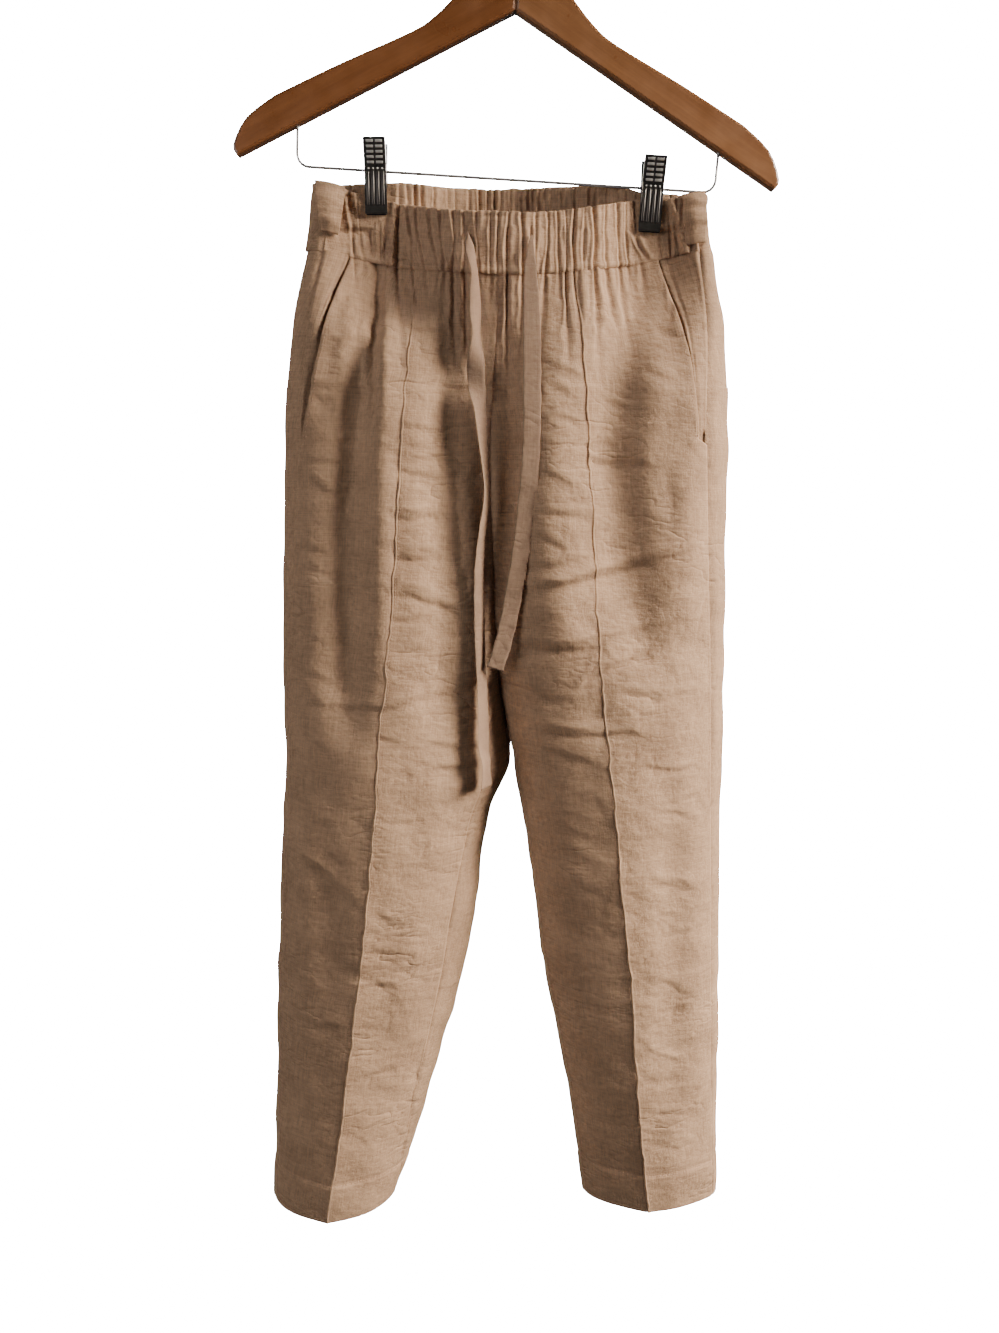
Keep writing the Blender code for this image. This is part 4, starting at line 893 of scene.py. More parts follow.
BROAD_WAVES = ((0.0017, 0.030, 0.320, 0), (0.0007, 0.024, 0.060, 1))
SLANT, SLANTED_WAVES = 0.4, ((0.0009, 0.026, 0.026, 11),)
FINE_WAVES = ((0.00028, 0.020, 0.010, 2), (0.00014, 0.010, 0.006, 3))
FINE_PATCHES, FINE_LEAST, FINE_MORE = ((0.9, 0.055, 0.070, 4),), 0.35, 0.9
HEM_SHARE, SEAM_SHARE = 0.35, 0.25          # how much of the fine creases the hem and seams keep
HEM_STIFF, STIFF_FADE, SEAM_STIFF, INSEAM_SOFT = 0.038, 0.03, 0.012, 0.004  # how far in from them


def surface_rise(side, x, z, height, seed):
    """Unevenness that all panels share: broad soft waves, crumples, and a quiet hem and seams."""
    broad = waves(x, z, BROAD_WAVES, seed) + waves(x + SLANT * z, z, SLANTED_WAVES, seed)
    patch = smooth(0.5 + waves(x, z, FINE_PATCHES, seed))
    fine = waves(x, z, FINE_WAVES, seed) * (FINE_LEAST + FINE_MORE * patch)
    fine = fine + crumple_lines(x, z, seed + 20)
    edges = section(side, height)
    from_inner = np.abs(x - edges["inner"]) + INSEAM_SOFT
    from_edge = np.minimum(np.abs(x - edges["outer"]), from_inner)
    quiet_hem = blend(HEM_SHARE, 1.0, smooth((height - HEM - HEM_STIFF) / STIFF_FADE))
    return broad + fine * quiet_hem * blend(SEAM_SHARE, 1.0, smooth(from_edge / SEAM_STIFF))


TUCK_HALF, TUCK_HIGH, TUCK_RIB = 0.0010, 0.0009, 1.1        # the last in columns of the grid
TUCK_CREST, TUCK_HOLLOW, TUCK_HOLLOW_OFF = 0.75, {-1: 0.45, 1: 0.70}, 2.2
TUCK_SPAN, TUCK_CLEAR = 2.0, 2.5            # its own columns, and clear of it, in half widths
TUCK_WAVES = ((0.0011, 0.5, 0.015, 7), (0.0005, 0.5, 0.006, 8))
TUCK_PULL, TUCK_FREE, TUCK_START = 9.0, 0.02, 0.012         # a pull is a width in columns
TUCK_UNEVEN = ((0.5, 0.5, 0.009, 9),)
PRESSED, PRESSED_WIDE, PRESS_FROM, PRESS_FADE = 0.0042, 0.016, -0.580, 0.35
MOUTH_PARTED = {-1: 0.0034, 1: 0.0010}      # how far the pocket mouth has drawn back from its line
PARTED_TOP, PARTED_FOOT, MOUTH_CLOSES = 0.08, 0.03, 0.007
MOUTH_GAPE = {-1: 0.0022, 1: 0.00132}       # and how far it stands up
GAPE_FADE, GAPE_PULL = 0.020, 9.0
MOUTH_WAVES, MOUTH_PULL = ((0.0005, 0.5, 0.014, 6),), 5.0
EDGE_PULL, EDGE_LEAST = 3.0, 0.25           # how the edges hold the creases flat
SEAM_DEEP, SEAM_LAP, SEAM_WIDE = 0.0011, 0.0016, 1.2
WAIST_GROOVE, GROOVE_WIDE = 0.0009, 0.0028
HEM_STITCH = HEM + 0.041
HEM_DOUBLED, HEM_DRAWN, HEM_THICK = 0.0008, 0.0005, 0.0018
DOUBLED_PAST, DOUBLED_STEP, DOUBLED_FADE = 0.0012, 0.0030, 0.030
DRAWN_ABOVE, DRAWN_WIDE = 0.0020, 0.0022
HEM_TURNING = (9, 2)                        # rows turned under, and rows of the panel for each
FLANK_COLUMNS, TUCK_COLUMNS, INNER_COLUMNS = 72, 9, 76
STRETCHES = ("hip", "thigh", "knee", "shin")
# Heights of a panel's rows, close together just under the waist and at the hem.
PANEL_TOP, HEM_ROWS_TOP = WAIST_SEAM - HALF_SEAM, HEM + 0.036
TOP_ROWS_END = PANEL_TOP - 0.050
PANEL_ROWS = np.concatenate([np.linspace(PANEL_TOP, TOP_ROWS_END, 44)[:-1],
                             np.linspace(TOP_ROWS_END, HEM_ROWS_TOP, 430)[:-1],
                             np.linspace(HEM_ROWS_TOP, HEM, 19)])

linen_front = linen("linen", LINEN_DARK, LINEN_LIGHT)


def shares(count):
    """A row of even shares from 0 to 1."""
    return np.linspace(0.0, 1.0, count)[None, :]


def lay_out(side, turns):
    """A panel's grid: heights and places, how free they are, and columns from its start and end."""
    tall = np.broadcast_to(PANEL_ROWS[:, None], turns.shape)
    columns = np.arange(turns.shape[1])[None, :]
    return (tall, *form(side, turns, tall), columns, columns[:, ::-1])


def keep_to_middle(points, inner, column):
    """Hold a panel's centre seam on its own line, down to the crotch."""
    points[:, column, 0] = np.where(PANEL_ROWS > CROTCH, inner, points[:, column, 0])


def sewn_lines(x, tall):
    """The waist seam's groove, and the doubled hem that stands out up to its row of stitches."""
    groove = WAIST_GROOVE * free_of_clips(x, tall) * rib(WAIST_SEAM - tall, GROOVE_WIDE)
    doubled = smooth((HEM_STITCH + DOUBLED_PAST - tall) / DOUBLED_STEP)
    doubled = doubled * smooth((tall - HEM) / DOUBLED_FADE)
    drawn = HEM_DRAWN * rib(tall - HEM_STITCH - DRAWN_ABOVE, DRAWN_WIDE)
    return HEM_DOUBLED * doubled - drawn - groove


def make_front(side, word, creases, seed):
    """One front panel from its pocket mouth and side seam to the inseam, waist seam to hem."""
    heights = PANEL_ROWS
    row = section(side, heights)
    parted = MOUTH_PARTED[side] * smooth((WAIST_SEAM - heights) / PARTED_TOP)
    parted = parted * smooth((heights - POCKET_FOOT) / PARTED_FOOT)
    mouth = turn_at(side, heights, pocket_distance(side, heights) + parted)
    seam = turn_at(side, heights, row["wrap_out"])
    below_mouth = blend(mouth, seam, smooth((POCKET_FOOT - heights) / MOUTH_CLOSES))
    start = np.where(heights >= POCKET_FOOT, mouth, below_mouth)
    end = turn_inside(side, heights, row["wrap_in"])
    half = TUCK_HALF / np.abs(row["crease"] - row["outer"]) * 2.0 / pi
    half_in = TUCK_HALF / np.abs(row["crease"] - row["inner"])
    half_in = half_in * blend(1.0, 2.0 / pi, smooth((CLEFT_FROM - heights) / (CLEFT_FROM - CROTCH)))
    across = np.linspace(-TUCK_SPAN, TUCK_SPAN, TUCK_COLUMNS)[None, :]
    turns = np.concatenate([
        blend(start[:, None], (1.0 - TUCK_CLEAR * half)[:, None], shares(FLANK_COLUMNS)),
        1.0 + across * np.where(across < 0.0, half[:, None], half_in[:, None]),
        blend((1.0 + TUCK_CLEAR * half_in)[:, None], end[:, None], shares(INNER_COLUMNS))], axis=1)
    tall, points, free, from_start, from_end = lay_out(side, turns)
    tuck = from_start - (FLANK_COLUMNS + TUCK_COLUMNS // 2)
    waver = waves(0.0 * tall, tall, TUCK_WAVES, seed)
    points[..., 0] += waver * rib(tuck, TUCK_PULL) * smooth((WAIST_SEAM - tall) / TUCK_FREE)
    normals = unit_normals(points, (len(heights) // 2, turns.shape[1] // 2))
    x, z = points[..., 0], points[..., 2]
    relief = surface_rise(side, x, z, tall, seed) + free * fold_rise(SOFT_FRONT, x, tall)
    relief = relief * (1.0 - pinch_share(x, tall))
    pressed = np.exp(-np.abs(x - row["crease"][:, None]) / PRESSED_WIDE)
    relief += PRESSED * pressed * smooth((PRESS_FROM - tall) / PRESS_FADE)
    relief += gather_rise(x, tall, GATHERS_FRONT, 7) + crease_rise(x, z, creases)
    crest = TUCK_CREST * rib(tuck, TUCK_RIB)
    crest = crest - TUCK_HOLLOW[side] * rib(-side * tuck + TUCK_HOLLOW_OFF, TUCK_RIB)
    crest = crest * (1.0 + waves(x, z, TUCK_UNEVEN, seed))
    relief += TUCK_HIGH * crest * smooth((WAIST_SEAM - tall) / TUCK_START) + sewn_lines(x, tall)
    open_mouth = (tall > POCKET_FOOT).astype(float)
    for from_edge in (from_end, from_start + EDGE_PULL * open_mouth):
        relief = relief * np.maximum(np.minimum(1.0, from_edge / EDGE_PULL), EDGE_LEAST)
    relief -= SEAM_DEEP * rib(from_start, SEAM_WIDE) * (1.0 - open_mouth)
    relief -= SEAM_DEEP * rib(from_end, SEAM_WIDE)
    opened = smooth((WAIST_SEAM - tall) / GAPE_FADE) * smooth((tall - POCKET_FOOT) / GAPE_FADE)
    relief += MOUTH_GAPE[side] * opened * rib(from_start, GAPE_PULL)
    relief += open_mouth * waves(x, z, MOUTH_WAVES, seed) * rib(from_start, MOUTH_PULL)
    points = points + normals * relief[..., None]
    for column, beside in ((0, 1), (-1, -2)):
        run = points[:, beside] - points[:, column]
        run = run / np.linalg.norm(run, axis=-1, keepdims=True)
        drawn = HALF_SEAM if column == 0 else HALF_SEAM * (heights <= CROTCH)[:, None]
        points[:, column] += run * drawn
    keep_to_middle(points, row["inner"], -1)
    surface = (points, normals)
    hemmed = turn_under(points, normals, *HEM_TURNING, HEM_THICK)
    sideways = [np.swapaxes(grid, 0, 1)[::-1] for grid in hemmed]
    points = np.swapaxes(turn_under(*sideways, 4, 1, PANEL_WALL)[0][::-1], 0, 1)
    cut = cut_map(points, FLANK_COLUMNS + 12)
    piece = grid_piece(f"front_cloth_{word}", points, cut, linen_front, (side * 0.10, 0.2, -0.7))
    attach(piece, "root")
    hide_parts(*(f"front_{word}_{stretch}" for stretch in STRETCHES))
    return surface


front_left = make_front(-1, "left", CREASES_FRONT_LEFT, 11)
front_right = make_front(1, "right", CREASES_FRONT_RIGHT, 57)


# ---------------------------------------------------------------- back panels
# Two linen backs, wider than the fronts, which come round to the front at the side seams. They hang
# with the same kind of folds, and are crumpled behind the knees and under the seat.
CREASES_BACK_LEFT = (
    (4, -1.5, -178, -566, -140, -580, -80, -602, -34, -626),
    (4, 1.3, -170, -548, -120, -566, -70, -588),
    (3, -1.3, -60, -640, -100, -655, -150, -650),
    (3, -1.2, -190, -470, -150, -482, -120, -478),
    (3, -1.0, -110, -430, -70, -442),
    (4, -1.5, -195, -820, -150, -838, -100, -830, -70, -818),
    (4, 1.2, -190, -808, -150, -824, -110, -818),
    (3, -1.3, -200, -880, -160, -872, -120, -884),
    (3, -1.0, -110, -900, -80, -912),
    (3, -1.1, -205, -960, -170, -972, -135, -965),
    (3, -1.0, -190, -1040, -160, -1055),
    (3, -0.9, -150, -740, -100, -752),
    (3, -0.9, -185, -700, -150, -708),
)
CREASES_BACK_RIGHT = (
    (4, -1.3, 132, -592, 88, -598, 36, -612, -5, -622),
    (5, 1.2, 120, -576, 84, -584, 40, -598),
    (3, -1.3, 30, -650, 70, -664, 120, -656),
    (3, -1.2, 155, -455, 115, -470, 85, -464),
    (3, -1.0, 70, -500, 30, -512),
    (4, -1.5, 160, -810, 115, -830, 70, -822, 35, -806),
    (4, 1.2, 155, -798, 115, -816, 75, -810),
    (3, -1.3, 165, -865, 125, -876, 90, -868),
    (3, -1.0, 80, -905, 50, -916),
    (3, -1.1, 170, -950, 130, -964, 100, -958),
    (3, -1.0, 160, -1035, 120, -1050),
    (3, -0.9, 120, -735, 70, -746),
    (3, -0.9, 150, -700, 110, -712),
)
# Gathers behind, in the columns of those in front, from their places across the waist. In the band
# they stand out as ridges.
GATHERS_BACK = tuple(
    (x, x + 0.6 * sin(9.0 * k), x * 1.01, x * 1.05, -335.0 + 28.0 * sin(37.0 * k),
     -1.3 - 0.6 * sin(5.3 * k), 1.6 + 0.7 * sin(5.3 * k), 1.5 + 0.25 * sin(3.1 * k))
    for k, x in enumerate((-137, -126, -99.9, -94.1, -88.3, -83.3, -73.4, -62.6, -56.8, -45.1,
                           -36.8, -29.4, -23.6, -17.8, -9.5, -6.1, -0.3, 5.5, 9.6, 14.6, 19.6,
                           23.7, 32.9, 43.7, 55.3, 60.3, 68.6, 77.7, 83.5, 92.6, 118, 126)))
BACK_COLUMNS, WRAP_COLUMNS, WRAP_FROM = 136, 14, 0.07
LAP_FADE, LAP_SUNK, SIDE_SUNK = 0.020, 0.35, 0.0006


def make_back(side, word, creases, seed):
    """One back panel from the centre back seam and inseam round to the side seam."""
    heights = PANEL_ROWS
    row = section(side, heights)
    lap_in = SEAM_LAP * smooth((LAP_END - heights) / LAP_FADE)
    inseam = turn_inside(side, heights, row["wrap_in"] + lap_in)
    start = np.where(heights > CROTCH, 2.0 + 1e-6, inseam)
    wrap = turn_at(side, heights, row["wrap_out"] + SEAM_LAP)
    turns = np.concatenate([
        blend(start[:, None], 4.0, shares(BACK_COLUMNS)),
        4.0 + wrap[:, None] * np.linspace(WRAP_FROM, 1.0, WRAP_COLUMNS)[None, :]], axis=1)
    tall, points, free, from_start, from_end = lay_out(side, turns)
    normals = unit_normals(points, (len(heights) // 2, BACK_COLUMNS // 2), front=False)
    x, z = points[..., 0], points[..., 2]
    on_back = (turns > 2.0) & (turns < 4.0)
    relief = surface_rise(side, x, z, tall, seed)
    relief += np.where(on_back, free * fold_rise(SOFT_BACK, x, tall), 0.0)
    relief = relief * (1.0 - pinch_share(x, tall))
    worn = gather_rise(x, tall, GATHERS_BACK, 8) + crease_rise(x, z, creases)
    relief += np.where(on_back, worn, 0.0) + sewn_lines(x, tall)
    relief = relief * np.minimum(1.0, np.minimum(from_start, from_end + 0.75) / EDGE_PULL)
    relief -= (SEAM_DEEP + SIDE_SUNK) * rib(from_end, SEAM_WIDE)
    relief -= (SEAM_DEEP + LAP_SUNK * lap_in[:, None]) * rib(from_start, SEAM_WIDE)
    points = points + normals * relief[..., None]
    keep_to_middle(points, row["inner"], 0)
    surface = (points, normals)
    points = turn_under(points, normals, *HEM_TURNING, HEM_THICK)[0]
    cut = cut_map(points, BACK_COLUMNS // 2)
    piece = grid_piece(f"back_cloth_{word}", points, cut, linen_front, (side * 0.10, -0.2, -0.7))
    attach(piece, "root")
    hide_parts(*(f"back_{word}_{stretch}" for stretch in STRETCHES))
    return surface


back_left = make_back(-1, "left", CREASES_BACK_LEFT, 91)
back_right = make_back(1, "right", CREASES_BACK_RIGHT, 133)


# ---------------------------------------------------------------- pocket facings
# Side pieces of the same linen that show outside the slanting pocket mouths. They run in behind
# the fronts, are caught in the waist and side seams, and bulge a little where a pocket hangs open.
FACING_FOOT = -0.444
FACING_TUCK, FACING_UNDER, FACING_DEEP = -0.420, 0.018, PANEL_WALL + 0.0024
FACING_DIVE, DIVE_LONG = 0.0025, 0.0040     # it runs in from just outside the mouth, this gently
FACING_TUCKED, FACING_CALM = 0.6, 0.6       # how far in its foot goes, and how flat it lies there
FACING_PULL, FACING_SEAM_WIDE = 4.0, 1.5    # in columns from the side seam
FACING_SEAM, FACING_GROOVE = 0.78, 0.0006   # a stitched line down it, between side seam and mouth
FACING_GROOVE_WIDE = 0.0011
FACING_ROWS, FACING_COLUMNS = 96, 44
CREASES_FACING_LEFT = (
    (2, -0.9, -192, -391, -181, -389),
    (3, 0.9, -190, -382, -178, -379),
    (3, 0.8, -184, -357, -173, -346),
    (2, -0.8, -177, -336, -170, -347),
    (3, 0.7, -187, -415, -180, -427),
    (3, 0.8, -176, -305, -158, -301),
)
CREASES_FACING_RIGHT = (
    (5, 3.4, 135, -280, 146, -298, 156, -320, 164, -341, 171, -366),
    (4, -1.6, 146, -292, 157, -308, 167, -324),
    (2, -0.9, 139, -344, 149, -341),
    (3, 1.0, 147, -372, 164, -376),
    (3, -1.0, 150, -380, 166, -384),
    (3, -1.0, 157, -413, 171, -409),
    (3, 0.9, 158, -404, 170, -400),
)


def make_facing(side, word, creases, seed):
    """A facing, level with the back panel at the side seam and behind the front past the mouth."""
    heights = np.linspace(PANEL_TOP, FACING_FOOT, FACING_ROWS)
    tall = np.broadcast_to(heights[:, None], (FACING_ROWS, FACING_COLUMNS))
    seam = np.broadcast_to(section(side, heights)["wrap_out"][:, None], tall.shape)
    mouth = pocket_distance(side, heights)[:, None]
    spots = blend(seam, mouth + FACING_UNDER, shares(FACING_COLUMNS))
    points = form(side, turn_at(side, tall, spots), tall)[0]
    normals = unit_normals(points, (FACING_ROWS // 2, FACING_COLUMNS // 2))
    x, z = points[..., 0], points[..., 2]
    low = smooth((FACING_TUCK - tall) / (FACING_TUCK - POCKET_FOOT))
    under = np.maximum(smooth((spots - mouth + FACING_DIVE) / DIVE_LONG), FACING_TUCKED * low)
    from_seam = np.arange(FACING_COLUMNS)[None, :]
    relief = surface_rise(side, x, z, tall, seed) + crease_rise(x, z, creases)
    relief = relief * np.minimum(1.0, from_seam / FACING_PULL) * (1.0 - FACING_CALM * under)
    relief -= FACING_GROOVE * rib(spots - blend(seam, mouth, FACING_SEAM), FACING_GROOVE_WIDE)
    relief -= SEAM_DEEP * rib(from_seam, FACING_SEAM_WIDE)
    held_edge = np.minimum(1.0, 0.35 + from_seam / 6.0)
    points = points + normals * (relief - under * held_edge * FACING_DEEP)[..., None]
    run = points[:, 1] - points[:, 0]
    points[:, 0] += HALF_SEAM * run / np.linalg.norm(run, axis=-1, keepdims=True)
    piece = grid_piece(f"pocket_cloth_{word}", points, cut_map(points, 20), linen_front,
                       (side * 0.10, 0.2, -0.4))
    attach(piece, "root")
    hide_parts(f"pocket_facing_{word}")


make_facing(-1, "left", CREASES_FACING_LEFT, 201)
make_facing(1, "right", CREASES_FACING_RIGHT, 233)


# ---------------------------------------------------------------- waistband
# Two lengths of doubled linen, sewn on round the waist as the drawstring's tunnel and drawn up in
# fine uneven gathers. Its folded top edge rolls, and its foot stands a little proud of the seam.
BAND_THICK, BAND_FOOT_THICK, BAND_LIP = 0.0021, 0.0012, 0.0010
BAND_ROWS, BAND_WRAP_COLUMNS = 36, 16
BAND_WAVES = ((0.0009, 0.015, 0.040, 1), (0.0003, 0.006, 0.009, 2), (0.00055, 0.0042, 0.018, 5))
TOP_GROOVE, GROOVE_UP, GROOVE_TALL = 0.0007, 0.93, 0.035    # the last two as shares of the band
LIP_DEEP, LIP_WAVES, LIP_ABOVE, LIP_TALL = 0.0012, ((0.0009, 0.009, 0.5, 4),), 0.001, 0.0028
LIP_PULL, BAND_PULL, BAND_SEAM_WIDE = 40.0, 4.0, 1.5        # in columns from the side seams
TOP_RIPPLE, RIPPLE_CELL = 0.0007, 0.0075
BAND_TURNING = (11, 3)                      # rows turned in, and rows of the band for each
HOLE_DEEP, HOLE_WIDE, HOLE_TALL = 0.0022, 0.0016, 0.0050
TIE_HOLES = ((-0.0440, -0.2715), (0.0060, -0.2740))
CREASES_BAND_FRONT = (
    (3, -4.2, -141, -240, -145, -256, -149.5, -269.4),
    (2, -2.2, -150, -269, -135, -268, -121.5, -268.7),
    (1, -1.4, -123, -266, -122.8, -285),
    (1, -1.6, -115.2, -263, -114.8, -294),
    (1, 1.2, -119, -262, -118.6, -290),
    (1, -1.4, -112, -263, -111.5, -292),
    (2, -1.8, -109.5, -258, -110.5, -276, -112.8, -292),
    (2, -2.0, -99, -240, -99.7, -255, -101, -275, -103.4, -300),
    (2, 1.3, -136, -244, -130, -249, -125.5, -250),
    (2, -1.2, -139, -250, -132, -257, -126, -258),
    (1, -1.0, -137, -270, -136, -287),
    (1, -1.0, -131, -270, -130, -287),
    (2, 1.2, 86.6, -265, 99.1, -268, 107, -266.5),
    (2, -2.2, 95, -269, 103.1, -271, 118, -269.5, 132, -265),
    (4, 4.2, 110.2, -245.8, 119.6, -249.5, 125.9, -265.7, 130.6, -290),
    (2, -3.6, 129, -246, 131.3, -256, 135, -275, 136.5, -292),
    (1, 1.2, 85, -269.4, 96, -290),
    (1, 1.2, 92.9, -271, 103.1, -290),
    (1, -1.2, 89, -270, 99.5, -290),
    (1, -1.2, 110, -272, 111, -290),
    (1, -1.2, 119, -272, 120, -290),
    (2, -1.4, 113, -250, 119, -257, 123, -265),
)
CREASES_BAND_BACK = (
    (2, -1.6, -138, -244, -134, -262, -136, -280),
    (2, -1.6, -130, -262, -118, -266, -106, -262),
    (2, -1.8, 118, -268, 105, -270, 92, -266),
    (2, 1.6, 130, -246, 125, -262, 128, -284),
)


def band_turns(side, front, xs):
    """turn of places across the waist, on the front or the back."""
    row = section(side, np.array([WAIST_SEAM]))
    outer, inner = row["outer"][0], row["inner"][0]
    crease_x = row["crease"][0] if front else 0.5 * (outer + inner)
    near = np.arccos(np.clip(1.0 - (xs - outer) / (crease_x - outer), -1.0, 1.0)) * 2.0 / pi
    far = 1.0 + (xs - crease_x) / (inner - crease_x)
    flank = np.where((xs - crease_x) * side > 0.0, near, far)
    return flank if front else np.maximum(4.0 - flank, 2.0 + 1e-6)


def make_band(word, front, gathers, columns, seed):
    """One length of the band, gathered, with its top edge and its foot turned in."""
    heights = np.linspace(WAIST_SEAM - BAND_LIP, WAIST_TOP, BAND_ROWS)
    at_seam = np.array([WAIST_SEAM])
    halves = []
    for side in (-1, 1):
        row = section(side, at_seam)
        outer, inner, wrap = row["outer"][0], row["inner"][0], row["wrap_out"][0]
        start = outer - side * (wrap + HALF_SEAM) if front else outer
        turns = band_turns(side, front, blend(start, inner, np.linspace(0.0, 1.0, columns // 2)))
        if not front:
            seam = turn_at(side, at_seam, np.array([wrap - HALF_SEAM]))[0]
            round_side = 4.0 + np.linspace(1.0, 0.05, BAND_WRAP_COLUMNS) * seam
            turns = np.concatenate([round_side, turns])
        turns = np.broadcast_to(turns[None, :], (len(heights), len(turns)))
        half = form(side, turns, np.broadcast_to(heights[:, None], turns.shape))[0]
        halves.append(half[:, :-1] if side < 0 else half[:, ::-1])
    points = np.concatenate(halves, axis=1)
    tall = np.broadcast_to(heights[:, None], points.shape[:2])
    normals = unit_normals(points, (20, columns // 2), front)
    x, z = points[..., 0], points[..., 2]
    up = (tall - WAIST_SEAM) / BAND_DEEP
    on_face = points[..., 1] * (-1.0 if front else 1.0) > 0.001
    creases = crease_rise(x, z, CREASES_BAND_FRONT if front else CREASES_BAND_BACK)
    relief = np.where(on_face, gather_rise(x, tall, gathers, seed) + creases, 0.0)
    loose = free_of_clips(x, tall)
    groove = TOP_GROOVE * rib(up - GROOVE_UP, GROOVE_TALL)
    relief += loose * (waves(x, z, BAND_WAVES, seed) - groove)
    columns_in = np.arange(points.shape[1])[None, :]
    near_end = np.minimum(columns_in, columns_in[:, ::-1])
    lip = loose * (LIP_DEEP + waves(x, z, LIP_WAVES, seed)) * smooth(near_end / LIP_PULL)
    relief += lip * rib(tall - WAIST_SEAM - LIP_ABOVE, LIP_TALL)
    for hole_x, hole_z in TIE_HOLES if front else ():
        hole = np.exp(-((x - hole_x) / HOLE_WIDE) ** 2 - ((z - hole_z) / HOLE_TALL) ** 4)
        relief -= HOLE_DEEP * hole
    relief = relief * np.minimum(1.0, near_end / BAND_PULL)
    relief -= SEAM_DEEP * rib(near_end, BAND_SEAM_WIDE)
    points = points + normals * relief[..., None]
    points[..., 2] += loose * up * TOP_RIPPLE * drift(x, z, RIPPLE_CELL, 0.5, seed + 3)
    points, normals = turn_under(points, normals, *BAND_TURNING, BAND_THICK)
    points = turn_under(points[::-1], normals[::-1], 1, 1, BAND_FOOT_THICK)[0][::-1]
    cut = cut_map(points, points.shape[1] // 2)
    piece = grid_piece(f"waistband_cloth_{word}", points, cut, linen_front,
                       (0.0, 0.2 if front else -0.2, -0.25))
    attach(piece, "root")
    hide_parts(f"waistband_{word}")
    return piece


band_front = make_band("front", True, GATHERS_FRONT, 620, 301)
band_back = make_band("back", False, GATHERS_BACK, 560, 331)


# ---------------------------------------------------------------- belt loops
# A narrow folded strip of linen over each side seam of the band, stitched down at its top and with
# its foot turned under. Both have slackened into cross puckers.
LOOP_TOP = -0.2325
# How far in from the side edge each loop starts and ends, at its top and at its foot, and its foot.
LOOP_LEFT = ((0.0060, 0.0270), (0.0130, 0.0250), -0.2685)
LOOP_RIGHT = ((0.0030, 0.0190), (0.0070, 0.0200), -0.2765)
LOOP_GAP, LOOP_BOW, LOOP_THICK = 0.0022, 0.0040, 0.0014
LOOP_ROWS, LOOP_COLUMNS = 46, 22
LOOP_SWAY, LOOP_ROLL = 0.0007, 0.0006
LOOP_PUCKERS = ((0.0012, 0.030, 0.0046, 1), (0.0006, 0.008, 0.006, 2))
FOOT_CALM, FOOT_FROM = 0.5, 0.86            # its foot is calmer, from this share of the way down
LOOP_ENDS, LOOP_SIDES, LOOP_SIDE_THIN = (8, 3), (5, 5), 0.8         # rows and columns turned under


def turn_both(points, normals, foot_rows, top_rows, thick):
    """Fold a grid's last rows under, and then its first."""
    points, normals = turn_under(points, normals, foot_rows, 1, thick)
    return [grid[::-1] for grid in turn_under(points[::-1], normals[::-1], top_rows, 1, thick)]


def make_loop(side, word, at_top, at_foot, foot, seed):
    """A loop that stands off the band, with puckers across it and all four edges turned under."""
    share = np.linspace(0.0, 1.0, LOOP_ROWS)[:, None]
    across = shares(LOOP_COLUMNS)
    heights = np.broadcast_to(blend(LOOP_TOP, foot, share), (LOOP_ROWS, LOOP_COLUMNS))
    waver = LOOP_SWAY * drift(share * 0.1, share, 0.017, 0.2, seed)
    starts, ends = [blend(top, low, share) for top, low in zip(at_top, at_foot)]
    spots = blend(starts, ends, across) + waver
    points = form(side, turn_at(side, heights, spots), heights)[0]
    normals = unit_normals(points, (20, 10))
    x, z = points[..., 0], points[..., 2]
    puckers = waves(x, z, LOOP_PUCKERS, seed)
    puckers = puckers + LOOP_ROLL * np.cos(2.0 * pi * (across - 0.5)) * smooth(share * 3.0)
    quiet_foot = 1.0 - FOOT_CALM * smooth((share - FOOT_FROM) / (1.0 - FOOT_FROM))
    lift = LOOP_GAP + LOOP_BOW * np.sin(pi * share) + LOOP_THICK
    points = points + normals * (lift + puckers * quiet_foot)[..., None]
    turned = turn_both(points, normals, *LOOP_ENDS, LOOP_THICK)
    sides = [np.swapaxes(grid, 0, 1) for grid in turned]
    folded = turn_both(*sides, *LOOP_SIDES, LOOP_THICK * LOOP_SIDE_THIN)
    points = np.swapaxes(folded[0], 0, 1)
    piece = grid_piece(f"belt_loop_cloth_{word}", points, cut_map(points, 16), linen_front,
                       (side * 0.10, 0.2, -0.25))
    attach(piece, "root")
    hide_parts(f"belt_loop_{word}")


make_loop(-1, "left", *LOOP_LEFT, 401)
make_loop(1, "right", *LOOP_RIGHT, 409)


# ---------------------------------------------------------------- stitching
# Lockstitch in a matching linen thread: round each hem, along both pocket mouths with a bar tack at
# the foot, and beside each pintuck.
STITCH_PITCH, STITCH_LONG, STITCH_HALF, STITCH_LIFT = 0.0027, 0.0020, 0.00026, 0.00012
MOUTH_STITCH, TACK_COLUMNS = 3, 6           # in columns from the mouth
TACK_ROWS, TACK_APART, TACK_PITCH = 5, 0.0005, 0.0021
thread_cloth = linen("thread", (0.30, 0.18, 0.11), (0.46, 0.30, 0.20), 0.3, 0.2)


def add_body(name, body, material, rounded=True):
    """Link a bmesh as a piece of one material, shaded smooth where it is rounded."""
    data = bpy.data.meshes.new(name)
    body.to_mesh(data)
    body.free()
    if rounded:
        data.shade_smooth()
    return add_piece(name, data, material)


